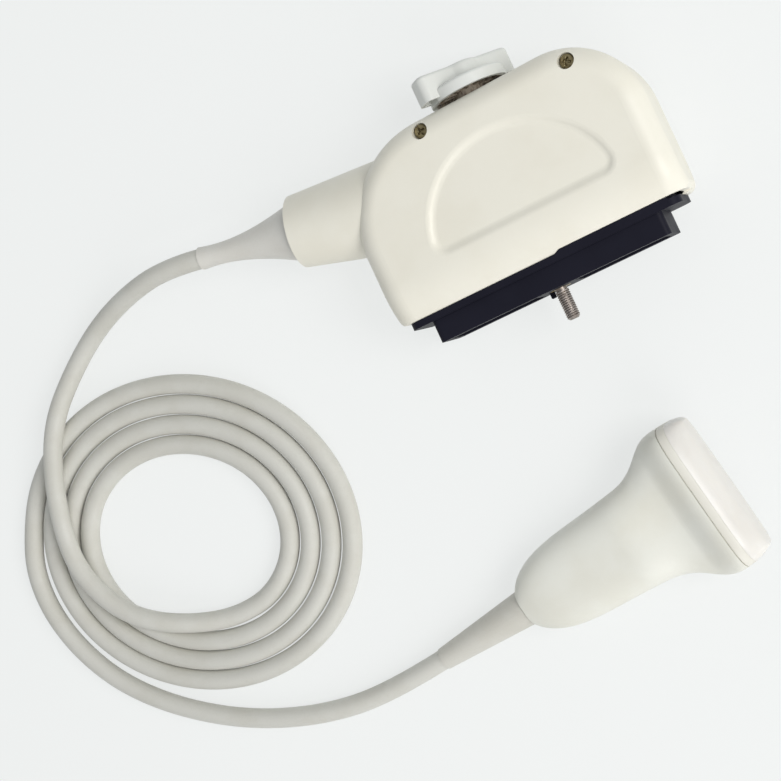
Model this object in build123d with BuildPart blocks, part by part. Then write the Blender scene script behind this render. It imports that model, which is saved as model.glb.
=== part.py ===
from build123d import *
from math import copysign, cos, pi, radians, sin
import os

os.makedirs("parts", exist_ok=True)

# An ultrasound transducer: a linear probe head, its coiled cable and its lock-screw connector.
# The connector lies on its back cover. X runs along the connector, +Y is the way of its knob.
# The origin is the middle of the back cover's resting face.

# Gaps shared by every fit
seat_gap = 0.1
running_gap = 0.05
soft_gap = 0.3
overrun = 1.0

# Connector covers
case_length = 112.6
case_height = 63.0
case_thickness = 38.0
case_wall = 2.5
case_edge_radius = 8.0
left_shoulder_radius = 36.0
right_shoulder_radius = 28.3
case_corner_radius = 4.0
case_corner_reach = 3.4
rim_slope_length = 14.0
rim_slope_drop = 4.0
rim_rounding = 1.0
key_step_left = 3.0
key_step_depth = 0.8
key_step_slope = 5.0
panel_depth = 1.2
panel_slope = 2.6
panel_left = 31.5
panel_right = 39.4
panel_peak = 2.5
panel_base = 15.6
panel_height = 33.2
panel_corner = 5.5
panel_rounding = 3.0

# Cover screws and their pillars
cover_screw_radius = 1.5
cover_screw_head_radius = 2.6
cover_screw_head_height = 1.9
cover_screw_well_radius = 2.9
cover_screw_well_depth = 4.8
cover_screw_length = 22.0
cover_pillar_radius = 4.6
cover_screw_left = 18.0
cover_screw_right = 37.4
cover_screw_left_inset = 4.6
cover_screw_right_inset = 6.9

# Neck that leads the cable into the covers
neck_angle = 11.5
neck_reach = 23.6
neck_drop = 13.0
neck_length = 44.0
neck_end_radius = 13.6
neck_root_radius = 18.1
neck_end_rounding = 4.5
neck_end_wall = 3.0
neck_inner_rounding = 0.7

# Dark plug base: flange, raised block and spigot
flange_length = 104.0
flange_height = 29.0
flange_thickness = 2.6
flange_corner_radius = 4.0
block_length = 88.6
block_height = 26.0
block_depth = 8.1
block_corner_radius = 2.0
spigot_depth = 8.0
window_length = 34.0
window_height = 17.0
window_offset = 24.5

# Contacts
insert_recess = 1.2
insert_lip = 1.5
contact_columns = 13
contact_rows = 6
contact_column_pitch = 2.4
contact_row_pitch = 2.54
contact_width = 0.8
contact_thickness = 0.5
contact_setback = 0.9
contact_tail = 3.0
key_pin_radius = 1.0
key_pin_reach = 2.2
key_pin_depth = 4.0
key_pin_side = 4.2
key_pin_drop = 3.5

# Lock screw, its bushes and its knob
screw_radius = 2.5
screw_reach = 11.8
screw_tip_chamfer = 0.8
screw_relief_radius = 2.1
screw_relief_width = 1.0
clip_groove_radius = 1.9
clip_radius = 4.8
clip_thickness = 0.8
bush_radius = 4.0
bush_flange_radius = 6.5
bush_flange_thickness = 1.0
bush_boss_radius = 6.8
bush_boss_depth = 3.5
washer_radius = 5.5
washer_thickness = 0.8
knob_rim_gap = 2.5
knob_skirt_radius = 14.5
knob_skirt_height = 4.4
knob_skirt_rounding = 1.2
knob_skirt_wall = 1.8
knob_roof = 1.4
knob_height = 10.5
knob_hub_radius = 6.8
knob_boss_radius = 5.2
knob_bar_length = 37.6
knob_bar_width = 9.0
knob_bar_lift = 1.2
knob_bar_corner = 2.8
knob_web_radius = 4.5
knob_top_rounding = 1.4
knob_rib_thickness = 1.0
knob_rib_count = 12
knob_rib_setback = 0.7
knob_slot_wall = 1.6
knob_slot_length = 3.0
knob_slot_depth = 4.0
knob_turn = 40.0
cross_pin_radius = 0.8
cross_pin_length = 11.0
cross_pin_depth = 5.0

# Circuit boards in the connector
board_end_room = 10.3
board_depth = 25.0
board_thickness = 1.6
board_spread = 15.0
board_setback = 1.0
board_post_radius = 2.2
board_post_inset = 6.0
coil_count = 14
coil_radius = 2.0
coil_height = 2.6
coil_pitch = 6.0
coil_row_gap = 9.0

# Cable entry in the connector
cable_diameter = 7.8
ferrule_radius = 5.2
ferrule_length = 9.0
clamp_length = 9.0
clamp_width = 18.0
clamp_height = 13.0
clamp_setback = 15.0
clamp_screw_radius = 1.1
clamp_screw_head_radius = 2.0
clamp_screw_head_height = 1.4
clamp_screw_length = 9.0
boot_length = 41.0
boot_root_radius = 11.2
boot_waist_radius = 6.1
boot_waist_share = 0.42
boot_knee_share = 0.4
boot_tip_radius = 4.4
boot_groove_radius = 9.6
boot_collar_radius = 10.6
boot_collar_length = 2.5
bundle_length = 16.0
bundle_width = 22.0
bundle_height = 5.0

# Probe head
head_left = 63.0
head_front = 142.3
head_lift = 8.7
head_turn = 10.0
head_pitch = 4.0
handle_length = 79.0
handle_wall = 2.0
nose_width = 56.6
nose_height = 28.0
nose_squareness = 4.8
handle_station_shares = (0.0, 0.063, 0.165, 0.3, 0.455, 0.61, 0.721, 0.804, 0.877, 1.0)
handle_width_shares = (0.275, 0.43, 0.537, 0.594, 0.618, 0.645, 0.69, 0.805, 0.945, 1.0)
handle_height_shares = (0.53, 0.614, 0.686, 0.714, 0.75, 0.80, 0.857, 0.914, 0.966, 1.0)
handle_squareness_shares = (0.5, 0.52, 0.57, 0.6, 0.6, 0.6, 0.62, 0.69, 0.81, 1.0)
oval_steps = 24
gasket_thickness = 0.4
gasket_width = 1.4
gasket_inset = 0.35
ring_length = 5.8
ring_wall = 3.2
ring_front_inset = 0.5
ring_rounding = 0.7
ring_lip = 1.2
ring_lip_depth = 2.4
lens_edge_rise = 0.1
lens_bulge = 3.0
lens_edge_radius = 1.2

# Acoustic stack and electronics in the head
array_length = 42.0
array_width = 12.0
matching_thickness = 0.8
array_thickness = 0.6
backing_thickness = 9.0
frame_depth = 8.0
flex_thickness = 0.3
flex_length = 20.0
flex_width = 30.0
head_board_setback = 21.0
head_board_width = 24.0
head_board_thickness = 1.2
head_board_start = 24.0
head_post_radius = 1.8
head_post_shares = (0.2, 0.68)
probe_boot_length = 40.5
probe_boot_root_radius = 7.0
probe_boot_tip_radius = 4.3
probe_boot_groove_radius = 5.6
probe_boot_collar_radius = 6.6
probe_boot_collar_length = 2.0
head_clamp_length = 6.0
head_clamp_start = 10.0
head_clamp_width = 16.0
head_clamp_height = 11.0

# Cable coil: a flat spiral of four turns, seen as a slightly oval ring on the floor
coil_left = 180.4
coil_front = 68.0
coil_turn = -24.0
coil_long_radius = 40.0
coil_short_radius = 34.0
coil_long_pitch = 8.7
coil_short_pitch = 8.1
coil_start = 0.12
coil_end = 3.75
coil_steps = 24
coil_rounding = 3.2
cable_bend_share = 0.45

# Places worked out from the sizes above
half_thickness = case_thickness / 2
rim = -case_height / 2
crown = case_height / 2
flange_front = rim - flange_thickness
block_front = flange_front - block_depth
spigot_rear = rim + spigot_depth
screw_tip = block_front - screw_reach
cable_radius = cable_diameter / 2
neck_axis = Vector(-cos(radians(neck_angle)), sin(radians(neck_angle)), 0)
neck_side = Vector(-sin(radians(neck_angle)), -cos(radians(neck_angle)), 0)
neck_end = Vector(-case_length / 2 - neck_reach, crown - neck_drop, half_thickness)
head_rear = Vector(-head_left, -head_front, head_lift)
head_axis = Vector(
    cos(radians(head_turn)) * cos(radians(head_pitch)),
    sin(radians(head_turn)) * cos(radians(head_pitch)),
    sin(radians(head_pitch)),
)
head_side = Vector(-sin(radians(head_turn)), cos(radians(head_turn)), 0)
head_plane = Plane(origin=head_rear, x_dir=head_axis, z_dir=head_axis.cross(head_side))
middle_plane = Plane.XY.offset(half_thickness)
coil_centre = Vector(-coil_left, -coil_front, 0)


def finish(builder, name):
    """Label a finished piece and write it as its own file."""
    builder.part.label = name
    export_step(builder.part, "parts/" + name + ".step")


def screw_plane(height):
    """Plane across the lock screw's axis, `height` along Y."""
    return Plane(origin=(0, height, half_thickness), x_dir=(1, 0, 0), z_dir=(0, 1, 0))


def knob_plane(height):
    """Plane across the screw's axis, turned so that its X runs along the knob's bar."""
    bar = (cos(radians(knob_turn)), 0, -sin(radians(knob_turn)))
    return Plane(origin=(0, height, half_thickness), x_dir=bar, z_dir=(0, 1, 0))


def neck_station(distance):
    """Plane across the neck's axis, `distance` inwards from the neck's end."""
    return Plane(origin=neck_end - neck_axis * distance, x_dir=neck_side, z_dir=neck_axis)


def head_station(distance):
    """Plane across the head's axis, `distance` forwards of its rear end."""
    return Plane(origin=head_rear + head_axis * distance, x_dir=head_side, z_dir=head_axis)


# Connector covers
def case_envelope(inset, reach):
    """Body shape of the closed covers, drawn `inset` inside their skin, open end moved out by `reach`."""
    length = case_length - 2 * inset
    top = crown - inset
    front = case_thickness - inset
    slope_end = rim + rim_slope_length
    slope_radius = (rim_slope_length**2 + rim_slope_drop**2) / (2 * rim_slope_drop)
    with BuildPart() as envelope:
        with BuildSketch(Plane.YZ):
            with BuildLine():
                RadiusArc((rim, front - rim_slope_drop), (slope_end, front), slope_radius)
                Polyline((slope_end, front), (top, front), (top, inset), (slope_end, inset))
                RadiusArc((slope_end, inset), (rim, inset + rim_slope_drop), slope_radius)
                Line((rim, inset + rim_slope_drop), (rim, front - rim_slope_drop))
            make_face()
        extrude(amount=length / 2, both=True)
        left = edges().filter_by(Axis.Z).sort_by_distance((-length / 2, top, half_thickness))[0]
        fillet(left, left_shoulder_radius - inset)
        right = edges().filter_by(Axis.Z).sort_by_distance((length / 2, top, half_thickness))[0]
        fillet(right, right_shoulder_radius - inset)
        seams = edges().filter_by(Axis.X).filter_by(lambda edge: edge.center().Y < 0)
        walls = edges().filter_by(Axis.Z)
        outline = edges().filter_by(lambda edge: edge not in seams and edge not in walls)
        fillet(outline, case_edge_radius - inset)
        if reach:
            extrude(faces().sort_by(Axis.Y)[0], amount=reach)
        for side in (1, -1):
            with BuildSketch():
                with BuildLine():
                    RadiusArc(
                        (side * length / 2, rim + case_corner_reach),
                        (side * (length / 2 - case_corner_reach), rim),
                        side * case_corner_radius,
                    )
                    Polyline(
                        (side * (length / 2 - case_corner_reach), rim),
                        (side * (length / 2 - case_corner_reach), rim - 2 * reach - overrun),
                        (side * (length / 2 + overrun), rim - 2 * reach - overrun),
                        (side * (length / 2 + overrun), rim + case_corner_reach),
                        (side * length / 2, rim + case_corner_reach),
                    )
                make_face()
            extrude(amount=case_thickness, mode=Mode.SUBTRACT)
        if not inset:
            fillet(faces().sort_by(Axis.Y)[0].edges(), rim_rounding)
    return envelope.part


def neck_body(inset, end_inset, rounding):
    """Cone of the neck, drawn `inset` inside its skin and `end_inset` short of its end."""
    slope = (neck_root_radius - neck_end_radius) / neck_length
    end_radius = neck_end_radius + slope * end_inset - inset
    with BuildPart() as neck:
        with BuildSketch(Plane(origin=neck_end, x_dir=-neck_axis, z_dir=(0, 0, 1))):
            with BuildLine():
                Polyline(
                    (end_inset, 0),
                    (end_inset, end_radius),
                    (neck_length, neck_root_radius - inset),
                    (neck_length, 0),
                    close=True,
                )
            make_face()
            corner = neck_end - neck_axis * end_inset + neck_side * end_radius
            rim_corner = vertices().sort_by_distance(corner)[0]
            fillet(rim_corner, rounding)
        revolve(axis=Axis(neck_end, neck_axis))
    return neck.part


outer_case = case_envelope(0, 0)
inner_case = case_envelope(case_wall, overrun)
outer_neck = neck_body(0, 0, neck_end_rounding)
inner_neck = neck_body(case_wall, neck_end_wall, neck_inner_rounding)

left_screw = (-cover_screw_left, crown - cover_screw_left_inset)
right_screw = (cover_screw_right, crown - cover_screw_right_inset)
cover_screws_at = [left_screw, right_screw]


with BuildPart() as cover_pillars:
    with BuildSketch(Plane.XY.offset(case_wall - seat_gap)):
        with Locations(*cover_screws_at):
            Circle(cover_pillar_radius)
    extrude(amount=case_thickness - 2 * case_wall + 2 * seat_gap)
    add(outer_case, mode=Mode.INTERSECT)


def cover_shell(keep):
    """One hollow half of the connector, with its neck half, screw pillars and bush boss."""
    with BuildPart() as shell:
        add(outer_case)
        add(outer_neck)
        add(inner_case, mode=Mode.SUBTRACT)
        add(inner_neck, mode=Mode.SUBTRACT)
        add(cover_pillars.part)
        with BuildSketch(screw_plane(crown - case_wall)):
            Circle(bush_boss_radius)
        extrude(amount=-bush_boss_depth)
        with BuildSketch(screw_plane(crown + overrun)):
            Circle(bush_radius + seat_gap / 2)
        extrude(amount=-(case_wall + bush_boss_depth + 2 * overrun), mode=Mode.SUBTRACT)
        with BuildSketch(neck_station(-overrun)):
            Circle(boot_groove_radius + seat_gap)
        extrude(amount=-(neck_end_wall + 2 * overrun), mode=Mode.SUBTRACT)
        split(bisect_by=middle_plane, keep=keep)
    return shell.part


board_length = case_length - 2 * board_end_room
post_x = board_length / 2 - board_post_inset
board_front = spigot_rear + insert_lip + board_setback
board_back = board_front + board_depth
post_near = board_front + board_post_inset
post_far = board_back - board_post_inset
board_posts_at = [(-post_x, post_near), (post_x, post_near), (-post_x, post_far), (post_x, post_far)]
board_skin = half_thickness - case_wall + seat_gap
board_face = board_spread / 2 + board_thickness / 2 + seat_gap


def panel_outline(inset):
    """Outline of the half-oval panel sunk in the front cover, `inset` inside its edge."""
    low = rim + panel_base + inset
    rise = panel_height - 2 * inset
    with BuildSketch() as outline:
        with BuildLine():
            Line((-panel_left + inset, low), (panel_right - inset, low))
            EllipticalCenterArc((panel_peak, low), panel_right - panel_peak - inset, rise, 0, arc_size=90)
            EllipticalCenterArc((panel_peak, low), panel_left + panel_peak - inset, rise, 90, arc_size=90)
        make_face()
        fillet(vertices().group_by(Axis.Y)[0], panel_corner - inset)
    return outline.sketch


def key_step(right, clearance):
    """Low step along the right part of the rim, which keys the front cover to the plug's flange."""
    foot = rim - flange_thickness / 2
    height = rim + key_step_depth + clearance
    with BuildSketch() as step:
        Polygon(
            (key_step_left - clearance, foot),
            (key_step_left + key_step_slope - clearance, height),
            (right, height),
            (right, foot),
            align=None,
        )
    return step.sketch


with BuildPart() as front_cover:
    add(cover_shell(Keep.TOP))
    with BuildSketch(middle_plane.offset(board_face)):
        with Locations(*board_posts_at):
            Circle(board_post_radius)
    extrude(amount=board_skin - board_face)
    with BuildSketch(Plane.XY.offset(case_thickness)):
        add(panel_outline(0))
    with BuildSketch(Plane.XY.offset(case_thickness - panel_depth)):
        add(panel_outline(panel_slope))
    loft(ruled=True, mode=Mode.SUBTRACT)
    panel_edges = edges(Select.LAST).group_by(Axis.Z)
    fillet(panel_edges[0] + panel_edges[-1], panel_rounding)
    with BuildSketch(middle_plane):
        add(key_step(case_length / 2 + overrun, seat_gap))
    extrude(amount=half_thickness, mode=Mode.SUBTRACT)
    with BuildSketch(Plane.XY.offset(case_thickness + overrun)):
        with Locations(*cover_screws_at):
            Circle(cover_screw_well_radius)
    extrude(amount=-(cover_screw_well_depth + overrun), mode=Mode.SUBTRACT)
    with BuildSketch(Plane.XY.offset(case_thickness)):
        with Locations(*cover_screws_at):
            Circle(cover_screw_radius + seat_gap)
    extrude(amount=-case_thickness, mode=Mode.SUBTRACT)
finish(front_cover, "front_cover")

clamp_side = clamp_width / 2 - clamp_screw_head_radius - seat_gap
clamp_middle = neck_station(clamp_setback + clamp_length / 2)
clamp_posts_at = [clamp_middle.origin + neck_side * clamp_side, clamp_middle.origin - neck_side * clamp_side]

with BuildPart() as clamp_posts:
    for place in clamp_posts_at:
        with BuildSketch(Plane(origin=place - Vector(0, 0, clamp_height / 2 + seat_gap))):
            Circle(clamp_screw_radius + case_wall / 2)
        extrude(amount=-half_thickness)
    add(outer_neck, mode=Mode.INTERSECT)

with BuildPart() as back_cover:
    add(cover_shell(Keep.BOTTOM))
    add(clamp_posts.part)
    with BuildSketch(middle_plane.offset(-board_face)):
        with Locations(*board_posts_at):
            Circle(board_post_radius)
    extrude(amount=-(board_skin - board_face))
    with BuildSketch(Plane.XY.offset(case_thickness - cover_screw_well_depth - cover_screw_length)):
        with Locations(*cover_screws_at):
            Circle(cover_screw_radius + running_gap)
    extrude(amount=cover_screw_length, mode=Mode.SUBTRACT)
    for place in clamp_posts_at:
        with BuildSketch(Plane(origin=place + Vector(0, 0, clamp_height / 2 - clamp_screw_length))):
            Circle(clamp_screw_radius + running_gap)
        extrude(amount=clamp_screw_length, mode=Mode.SUBTRACT)
finish(back_cover, "back_cover")

screw_seat = case_thickness - cover_screw_well_depth
with BuildPart() as cover_screws:
    with BuildSketch(Plane.XY.offset(screw_seat - cover_screw_length + seat_gap)):
        with Locations(*cover_screws_at):
            Circle(cover_screw_radius)
    extrude(amount=cover_screw_length)
    with BuildSketch(Plane.XY.offset(screw_seat)):
        with Locations(*cover_screws_at):
            Circle(cover_screw_head_radius)
    extrude(amount=cover_screw_head_height)
    fillet(edges().group_by(Axis.Z)[-1], cover_screw_head_height / 3)
finish(cover_screws, "cover_screws")

# Plug base with its contacts
spigot_length = case_length - 2 * (case_wall + case_corner_radius + seat_gap)
spigot_height = case_thickness - 2 * (case_wall + rim_slope_drop + seat_gap)
base_depth = spigot_rear - block_front
key_pin_at = (-key_pin_side, key_pin_drop)

with BuildPart() as plug_base:
    with BuildSketch(screw_plane(rim - seat_gap)):
        Rectangle(flange_length, flange_height)
        fillet(vertices(), flange_corner_radius)
    extrude(amount=-(flange_thickness - seat_gap))
    with BuildSketch(middle_plane):
        add(key_step(flange_length / 2 - flange_corner_radius, 0))
    extrude(amount=flange_height / 2)
    with BuildSketch(screw_plane(flange_front)):
        Rectangle(block_length, block_height)
        fillet(vertices(), block_corner_radius)
    extrude(amount=-block_depth)
    with BuildSketch(screw_plane(rim - seat_gap)):
        Rectangle(spigot_length, spigot_height)
    extrude(amount=spigot_depth + seat_gap)
    with BuildSketch(screw_plane(block_front - overrun)):
        with Locations((-window_offset, 0), (window_offset, 0)):
            Rectangle(window_length, window_height)
        Circle(bush_radius + running_gap)
    extrude(amount=base_depth + 2 * overrun, mode=Mode.SUBTRACT)
    with BuildSketch(screw_plane(block_front - overrun)):
        with Locations(key_pin_at):
            Circle(key_pin_radius + running_gap)
    extrude(amount=key_pin_depth + overrun, mode=Mode.SUBTRACT)
finish(plug_base, "plug_base")

insert_front = block_front + insert_recess
insert_back = spigot_rear + seat_gap
slot_length = contact_columns * contact_column_pitch
slot_height = contact_thickness + 2 * running_gap
insert_places = [(-window_offset, 0), (window_offset, 0)]
slot_places = [
    (side, (row - (contact_rows - 1) / 2) * contact_row_pitch)
    for side in (-window_offset, window_offset)
    for row in range(contact_rows)
]

with BuildPart() as contact_inserts:
    with BuildSketch(screw_plane(insert_front)):
        with Locations(*insert_places):
            Rectangle(window_length - 2 * seat_gap, window_height - 2 * seat_gap)
    extrude(amount=insert_back - insert_front)
    with BuildSketch(screw_plane(insert_back)):
        with Locations(*insert_places):
            Rectangle(window_length + insert_lip, window_height + insert_lip)
    extrude(amount=insert_lip)
    with BuildSketch(screw_plane(insert_front - overrun)):
        with Locations(*slot_places):
            Rectangle(slot_length, slot_height)
    extrude(amount=insert_back + insert_lip - insert_front + 2 * overrun, mode=Mode.SUBTRACT)
finish(contact_inserts, "contact_inserts")

contact_places = [
    (side + (column - (contact_columns - 1) / 2) * contact_column_pitch, height)
    for side, height in slot_places
    for column in range(contact_columns)
]
contact_front = block_front + contact_setback
contact_back = insert_back + insert_lip + contact_tail

with BuildPart() as contacts:
    with BuildSketch(screw_plane(contact_front)):
        with Locations(*contact_places):
            Rectangle(contact_width, contact_thickness)
    extrude(amount=contact_back - contact_front)
finish(contacts, "contacts")

with BuildPart() as key_pin:
    with BuildSketch(screw_plane(block_front - key_pin_reach)):
        with Locations(key_pin_at):
            Circle(key_pin_radius)
    extrude(amount=key_pin_reach + key_pin_depth)
    chamfer(faces().sort_by(Axis.Y)[0].edges(), key_pin_radius / 3)
finish(key_pin, "key_pin")

# Lock screw group
knob_rim = crown + knob_rim_gap
knob_top = knob_rim + knob_height
screw_end = knob_top - knob_slot_wall
base_bush_back = spigot_rear + bush_flange_thickness
washer_front = base_bush_back + running_gap
clip_front = washer_front + washer_thickness + seat_gap
knob_boss_end = crown + bush_flange_thickness + seat_gap
cross_pin_at = knob_top - cross_pin_depth

with BuildPart() as base_bush:
    with BuildSketch(screw_plane(block_front)):
        Circle(bush_radius)
    extrude(amount=base_depth)
    with BuildSketch(screw_plane(spigot_rear)):
        Circle(washer_radius)
    extrude(amount=bush_flange_thickness)
    with BuildSketch(screw_plane(block_front - overrun)):
        Circle(screw_radius + running_gap)
    extrude(amount=base_depth + bush_flange_thickness + 2 * overrun, mode=Mode.SUBTRACT)
finish(base_bush, "base_bush")

with BuildPart() as knob_bush:
    with BuildSketch(screw_plane(crown)):
        Circle(bush_radius)
    extrude(amount=-(case_wall + bush_boss_depth))
    with BuildSketch(screw_plane(crown + running_gap)):
        Circle(bush_flange_radius)
    extrude(amount=bush_flange_thickness - running_gap)
    with BuildSketch(screw_plane(crown)):
        Circle(bush_radius)
    extrude(amount=bush_flange_thickness / 2)
    with BuildSketch(screw_plane(crown + bush_flange_thickness + overrun)):
        Circle(screw_radius + running_gap)
    extrude(amount=-case_height / 2, mode=Mode.SUBTRACT)
finish(knob_bush, "knob_bush")

with BuildPart() as thrust_washer:
    with BuildSketch(screw_plane(washer_front)):
        Circle(washer_radius)
        Circle(screw_radius + running_gap, mode=Mode.SUBTRACT)
    extrude(amount=washer_thickness)
finish(thrust_washer, "thrust_washer")

with BuildPart() as lock_screw:
    with BuildSketch(screw_plane(screw_tip)):
        Circle(screw_radius)
    extrude(amount=screw_end - screw_tip)
    chamfer(faces().sort_by(Axis.Y)[0].edges(), screw_tip_chamfer)
    with BuildSketch(screw_plane(block_front - screw_relief_width)):
        Circle(screw_radius + overrun)
        Circle(screw_relief_radius, mode=Mode.SUBTRACT)
    extrude(amount=screw_relief_width, mode=Mode.SUBTRACT)
    with BuildSketch(screw_plane(clip_front)):
        Circle(screw_radius + overrun)
        Circle(clip_groove_radius, mode=Mode.SUBTRACT)
    extrude(amount=clip_thickness + running_gap, mode=Mode.SUBTRACT)
    with BuildSketch(Plane(origin=(0, cross_pin_at, half_thickness), z_dir=knob_plane(0).x_dir)):
        Circle(cross_pin_radius + running_gap)
    extrude(amount=knob_hub_radius, both=True, mode=Mode.SUBTRACT)
finish(lock_screw, "lock_screw")

with BuildPart() as retaining_clip:
    with BuildSketch(screw_plane(clip_front + running_gap / 2)):
        Circle(clip_radius)
        Circle(clip_groove_radius + running_gap, mode=Mode.SUBTRACT)
        with Locations((0, clip_radius)):
            Rectangle(2 * clip_groove_radius, 2 * clip_radius, mode=Mode.SUBTRACT)
    extrude(amount=clip_thickness)
finish(retaining_clip, "retaining_clip")

with BuildPart() as cross_pin:
    with BuildSketch(Plane(origin=(0, cross_pin_at, half_thickness), z_dir=knob_plane(0).x_dir)):
        Circle(cross_pin_radius)
    extrude(amount=cross_pin_length / 2, both=True)
finish(cross_pin, "cross_pin")

slot_middle = knob_bar_length / 2 - knob_slot_wall - knob_slot_length / 2
rib_radius = (knob_skirt_radius - knob_skirt_wall / 2 + knob_boss_radius) / 2

with BuildPart() as knob_skirt:
    with BuildSketch(knob_plane(knob_rim)):
        Circle(knob_skirt_radius)
    extrude(amount=knob_skirt_height)
    fillet(faces().sort_by(Axis.Y)[-1].edges(), knob_skirt_rounding)

with BuildPart() as lock_knob:
    with BuildSketch(knob_plane(knob_rim + knob_bar_lift)):
        Rectangle(knob_bar_length, knob_bar_width)
        fillet(vertices(), knob_bar_corner)
        Circle(knob_hub_radius)
        fillet(vertices().sort_by_distance((0, 0))[:4], knob_web_radius)
    extrude(amount=knob_height - knob_bar_lift)
    fillet(faces().sort_by(Axis.Y)[-1].edges(), knob_top_rounding)
    add(knob_skirt.part)
    with BuildSketch(knob_plane(knob_rim - overrun)):
        Circle(knob_skirt_radius - knob_skirt_wall)
    extrude(amount=knob_skirt_height - knob_roof + overrun, mode=Mode.SUBTRACT)
    with BuildSketch(knob_plane(knob_rim + knob_rib_setback)):
        with PolarLocations(rib_radius, knob_rib_count):
            Rectangle(knob_skirt_radius - knob_boss_radius, knob_rib_thickness)
    extrude(amount=knob_skirt_height - knob_roof - knob_rib_setback + knob_roof / 2)
    with BuildSketch(knob_plane(knob_boss_end)):
        Circle(knob_boss_radius)
    extrude(amount=knob_rim + knob_skirt_height - knob_boss_end)
    with BuildSketch(knob_plane(knob_boss_end - overrun)):
        Circle(screw_radius + running_gap)
    extrude(amount=screw_end + running_gap - knob_boss_end + overrun, mode=Mode.SUBTRACT)
    with BuildSketch(knob_plane(knob_rim)):
        with Locations((-slot_middle, 0), (slot_middle, 0)):
            Rectangle(knob_slot_length, knob_bar_width - 2 * knob_slot_wall)
    extrude(amount=knob_bar_lift + knob_slot_depth, mode=Mode.SUBTRACT)
    with BuildSketch(Plane(origin=(0, cross_pin_at, half_thickness), z_dir=knob_plane(0).x_dir)):
        Circle(cross_pin_radius + running_gap)
    extrude(amount=cross_pin_length / 2 + running_gap, both=True, mode=Mode.SUBTRACT)
finish(lock_knob, "lock_knob")

# Circuit boards in the connector
def connector_board(side, name):
    """One board, on the front (+1) or the back (-1) of the screw."""
    with BuildPart() as board:
        with BuildSketch(middle_plane.offset(side * board_spread / 2 - board_thickness / 2)):
            with Locations((0, (board_front + board_back) / 2)):
                Rectangle(board_length, board_depth)
        extrude(amount=board_thickness)
    finish(board, name)


connector_board(1, "front_board")
connector_board(-1, "back_board")

coil_face = board_spread / 2 - board_thickness / 2
coil_rows_at = [
    ((column - (coil_count - 1) / 2) * coil_pitch, (board_front + board_back) / 2 + row * coil_row_gap / 2)
    for column in range(coil_count)
    for row in (-1, 1)
]

with BuildPart() as tuning_coils:
    for side in (1, -1):
        with BuildSketch(middle_plane.offset(side * (coil_face - seat_gap))):
            with Locations(*coil_rows_at):
                Circle(coil_radius)
        extrude(amount=-side * coil_height)
finish(tuning_coils, "tuning_coils")

# Cable entry of the connector
tail_end = clamp_setback + clamp_length + seat_gap
ferrule_start = tail_end + seat_gap
bundle_start = ferrule_start + ferrule_length + seat_gap


def boot_flare():
    """Outer curve of the flared connector boot, from its shoulder to its tip."""
    waist = (boot_waist_share * boot_length, boot_waist_radius)
    knee = (boot_knee_share * waist[0], (boot_root_radius + boot_waist_radius) / 2 + soft_gap)
    return Spline((soft_gap, boot_root_radius), knee, waist, (boot_length, boot_tip_radius))


with BuildPart() as connector_boot:
    with BuildSketch(Plane(origin=neck_end, x_dir=neck_axis, z_dir=(0, 0, 1))):
        collar_end = -(neck_end_wall + seat_gap)
        bore = cable_radius + running_gap
        with BuildLine():
            boot_flare()
            Polyline(
                (boot_length, boot_tip_radius),
                (boot_length, bore),
                (collar_end - boot_collar_length, bore),
                (collar_end - boot_collar_length, boot_collar_radius),
                (collar_end, boot_collar_radius),
                (collar_end, boot_groove_radius),
                (soft_gap, boot_groove_radius),
                (soft_gap, boot_root_radius),
            )
        make_face()
    revolve(axis=Axis(neck_end, neck_axis))
finish(connector_boot, "connector_boot")

with BuildPart() as connector_tail:
    with BuildSketch(neck_station(-boot_length)):
        Circle(cable_radius)
    extrude(amount=-(boot_length + tail_end))
finish(connector_tail, "connector_tail")

with BuildPart() as cable_clamp:
    with BuildSketch(neck_station(clamp_setback)):
        Rectangle(clamp_width, clamp_height)
        fillet(vertices(), clamp_screw_radius)
        Circle(cable_radius + running_gap, mode=Mode.SUBTRACT)
    extrude(amount=-clamp_length)
    for place in clamp_posts_at:
        with BuildSketch(Plane(origin=place + Vector(0, 0, clamp_height))):
            Circle(clamp_screw_radius + running_gap)
        extrude(amount=-2 * clamp_height, mode=Mode.SUBTRACT)
finish(cable_clamp, "cable_clamp")

with BuildPart() as clamp_screws:
    for place in clamp_posts_at:
        with BuildSketch(Plane(origin=place + Vector(0, 0, clamp_height / 2 + running_gap))):
            Circle(clamp_screw_head_radius)
        extrude(amount=clamp_screw_head_height)
        with BuildSketch(Plane(origin=place + Vector(0, 0, clamp_height / 2 + running_gap))):
            Circle(clamp_screw_radius)
        extrude(amount=-clamp_screw_length)
finish(clamp_screws, "clamp_screws")

with BuildPart() as shield_ferrule:
    with BuildSketch(neck_station(ferrule_start)):
        Circle(ferrule_radius)
    extrude(amount=-ferrule_length)
finish(shield_ferrule, "shield_ferrule")

with BuildPart() as wire_bundle:
    with BuildSketch(neck_station(bundle_start)):
        Rectangle(ferrule_radius, bundle_height)
    with BuildSketch(neck_station(bundle_start + bundle_length)):
        Rectangle(bundle_width, bundle_height)
    loft()
finish(wire_bundle, "wire_bundle")


# Probe head
def oval(half_width, half_height, squareness):
    """Superellipse: |x / half_width|^n + |y / half_height|^n = 1, with n the squareness."""
    points = []
    for step in range(oval_steps):
        angle = 2 * pi * step / oval_steps
        across = copysign(abs(cos(angle)) ** (2 / squareness), cos(angle))
        up = copysign(abs(sin(angle)) ** (2 / squareness), sin(angle))
        points.append((half_width * across, half_height * up))
    with BuildSketch() as outline:
        with BuildLine():
            Spline(*points, periodic=True)
        make_face()
    return outline.sketch


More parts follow.
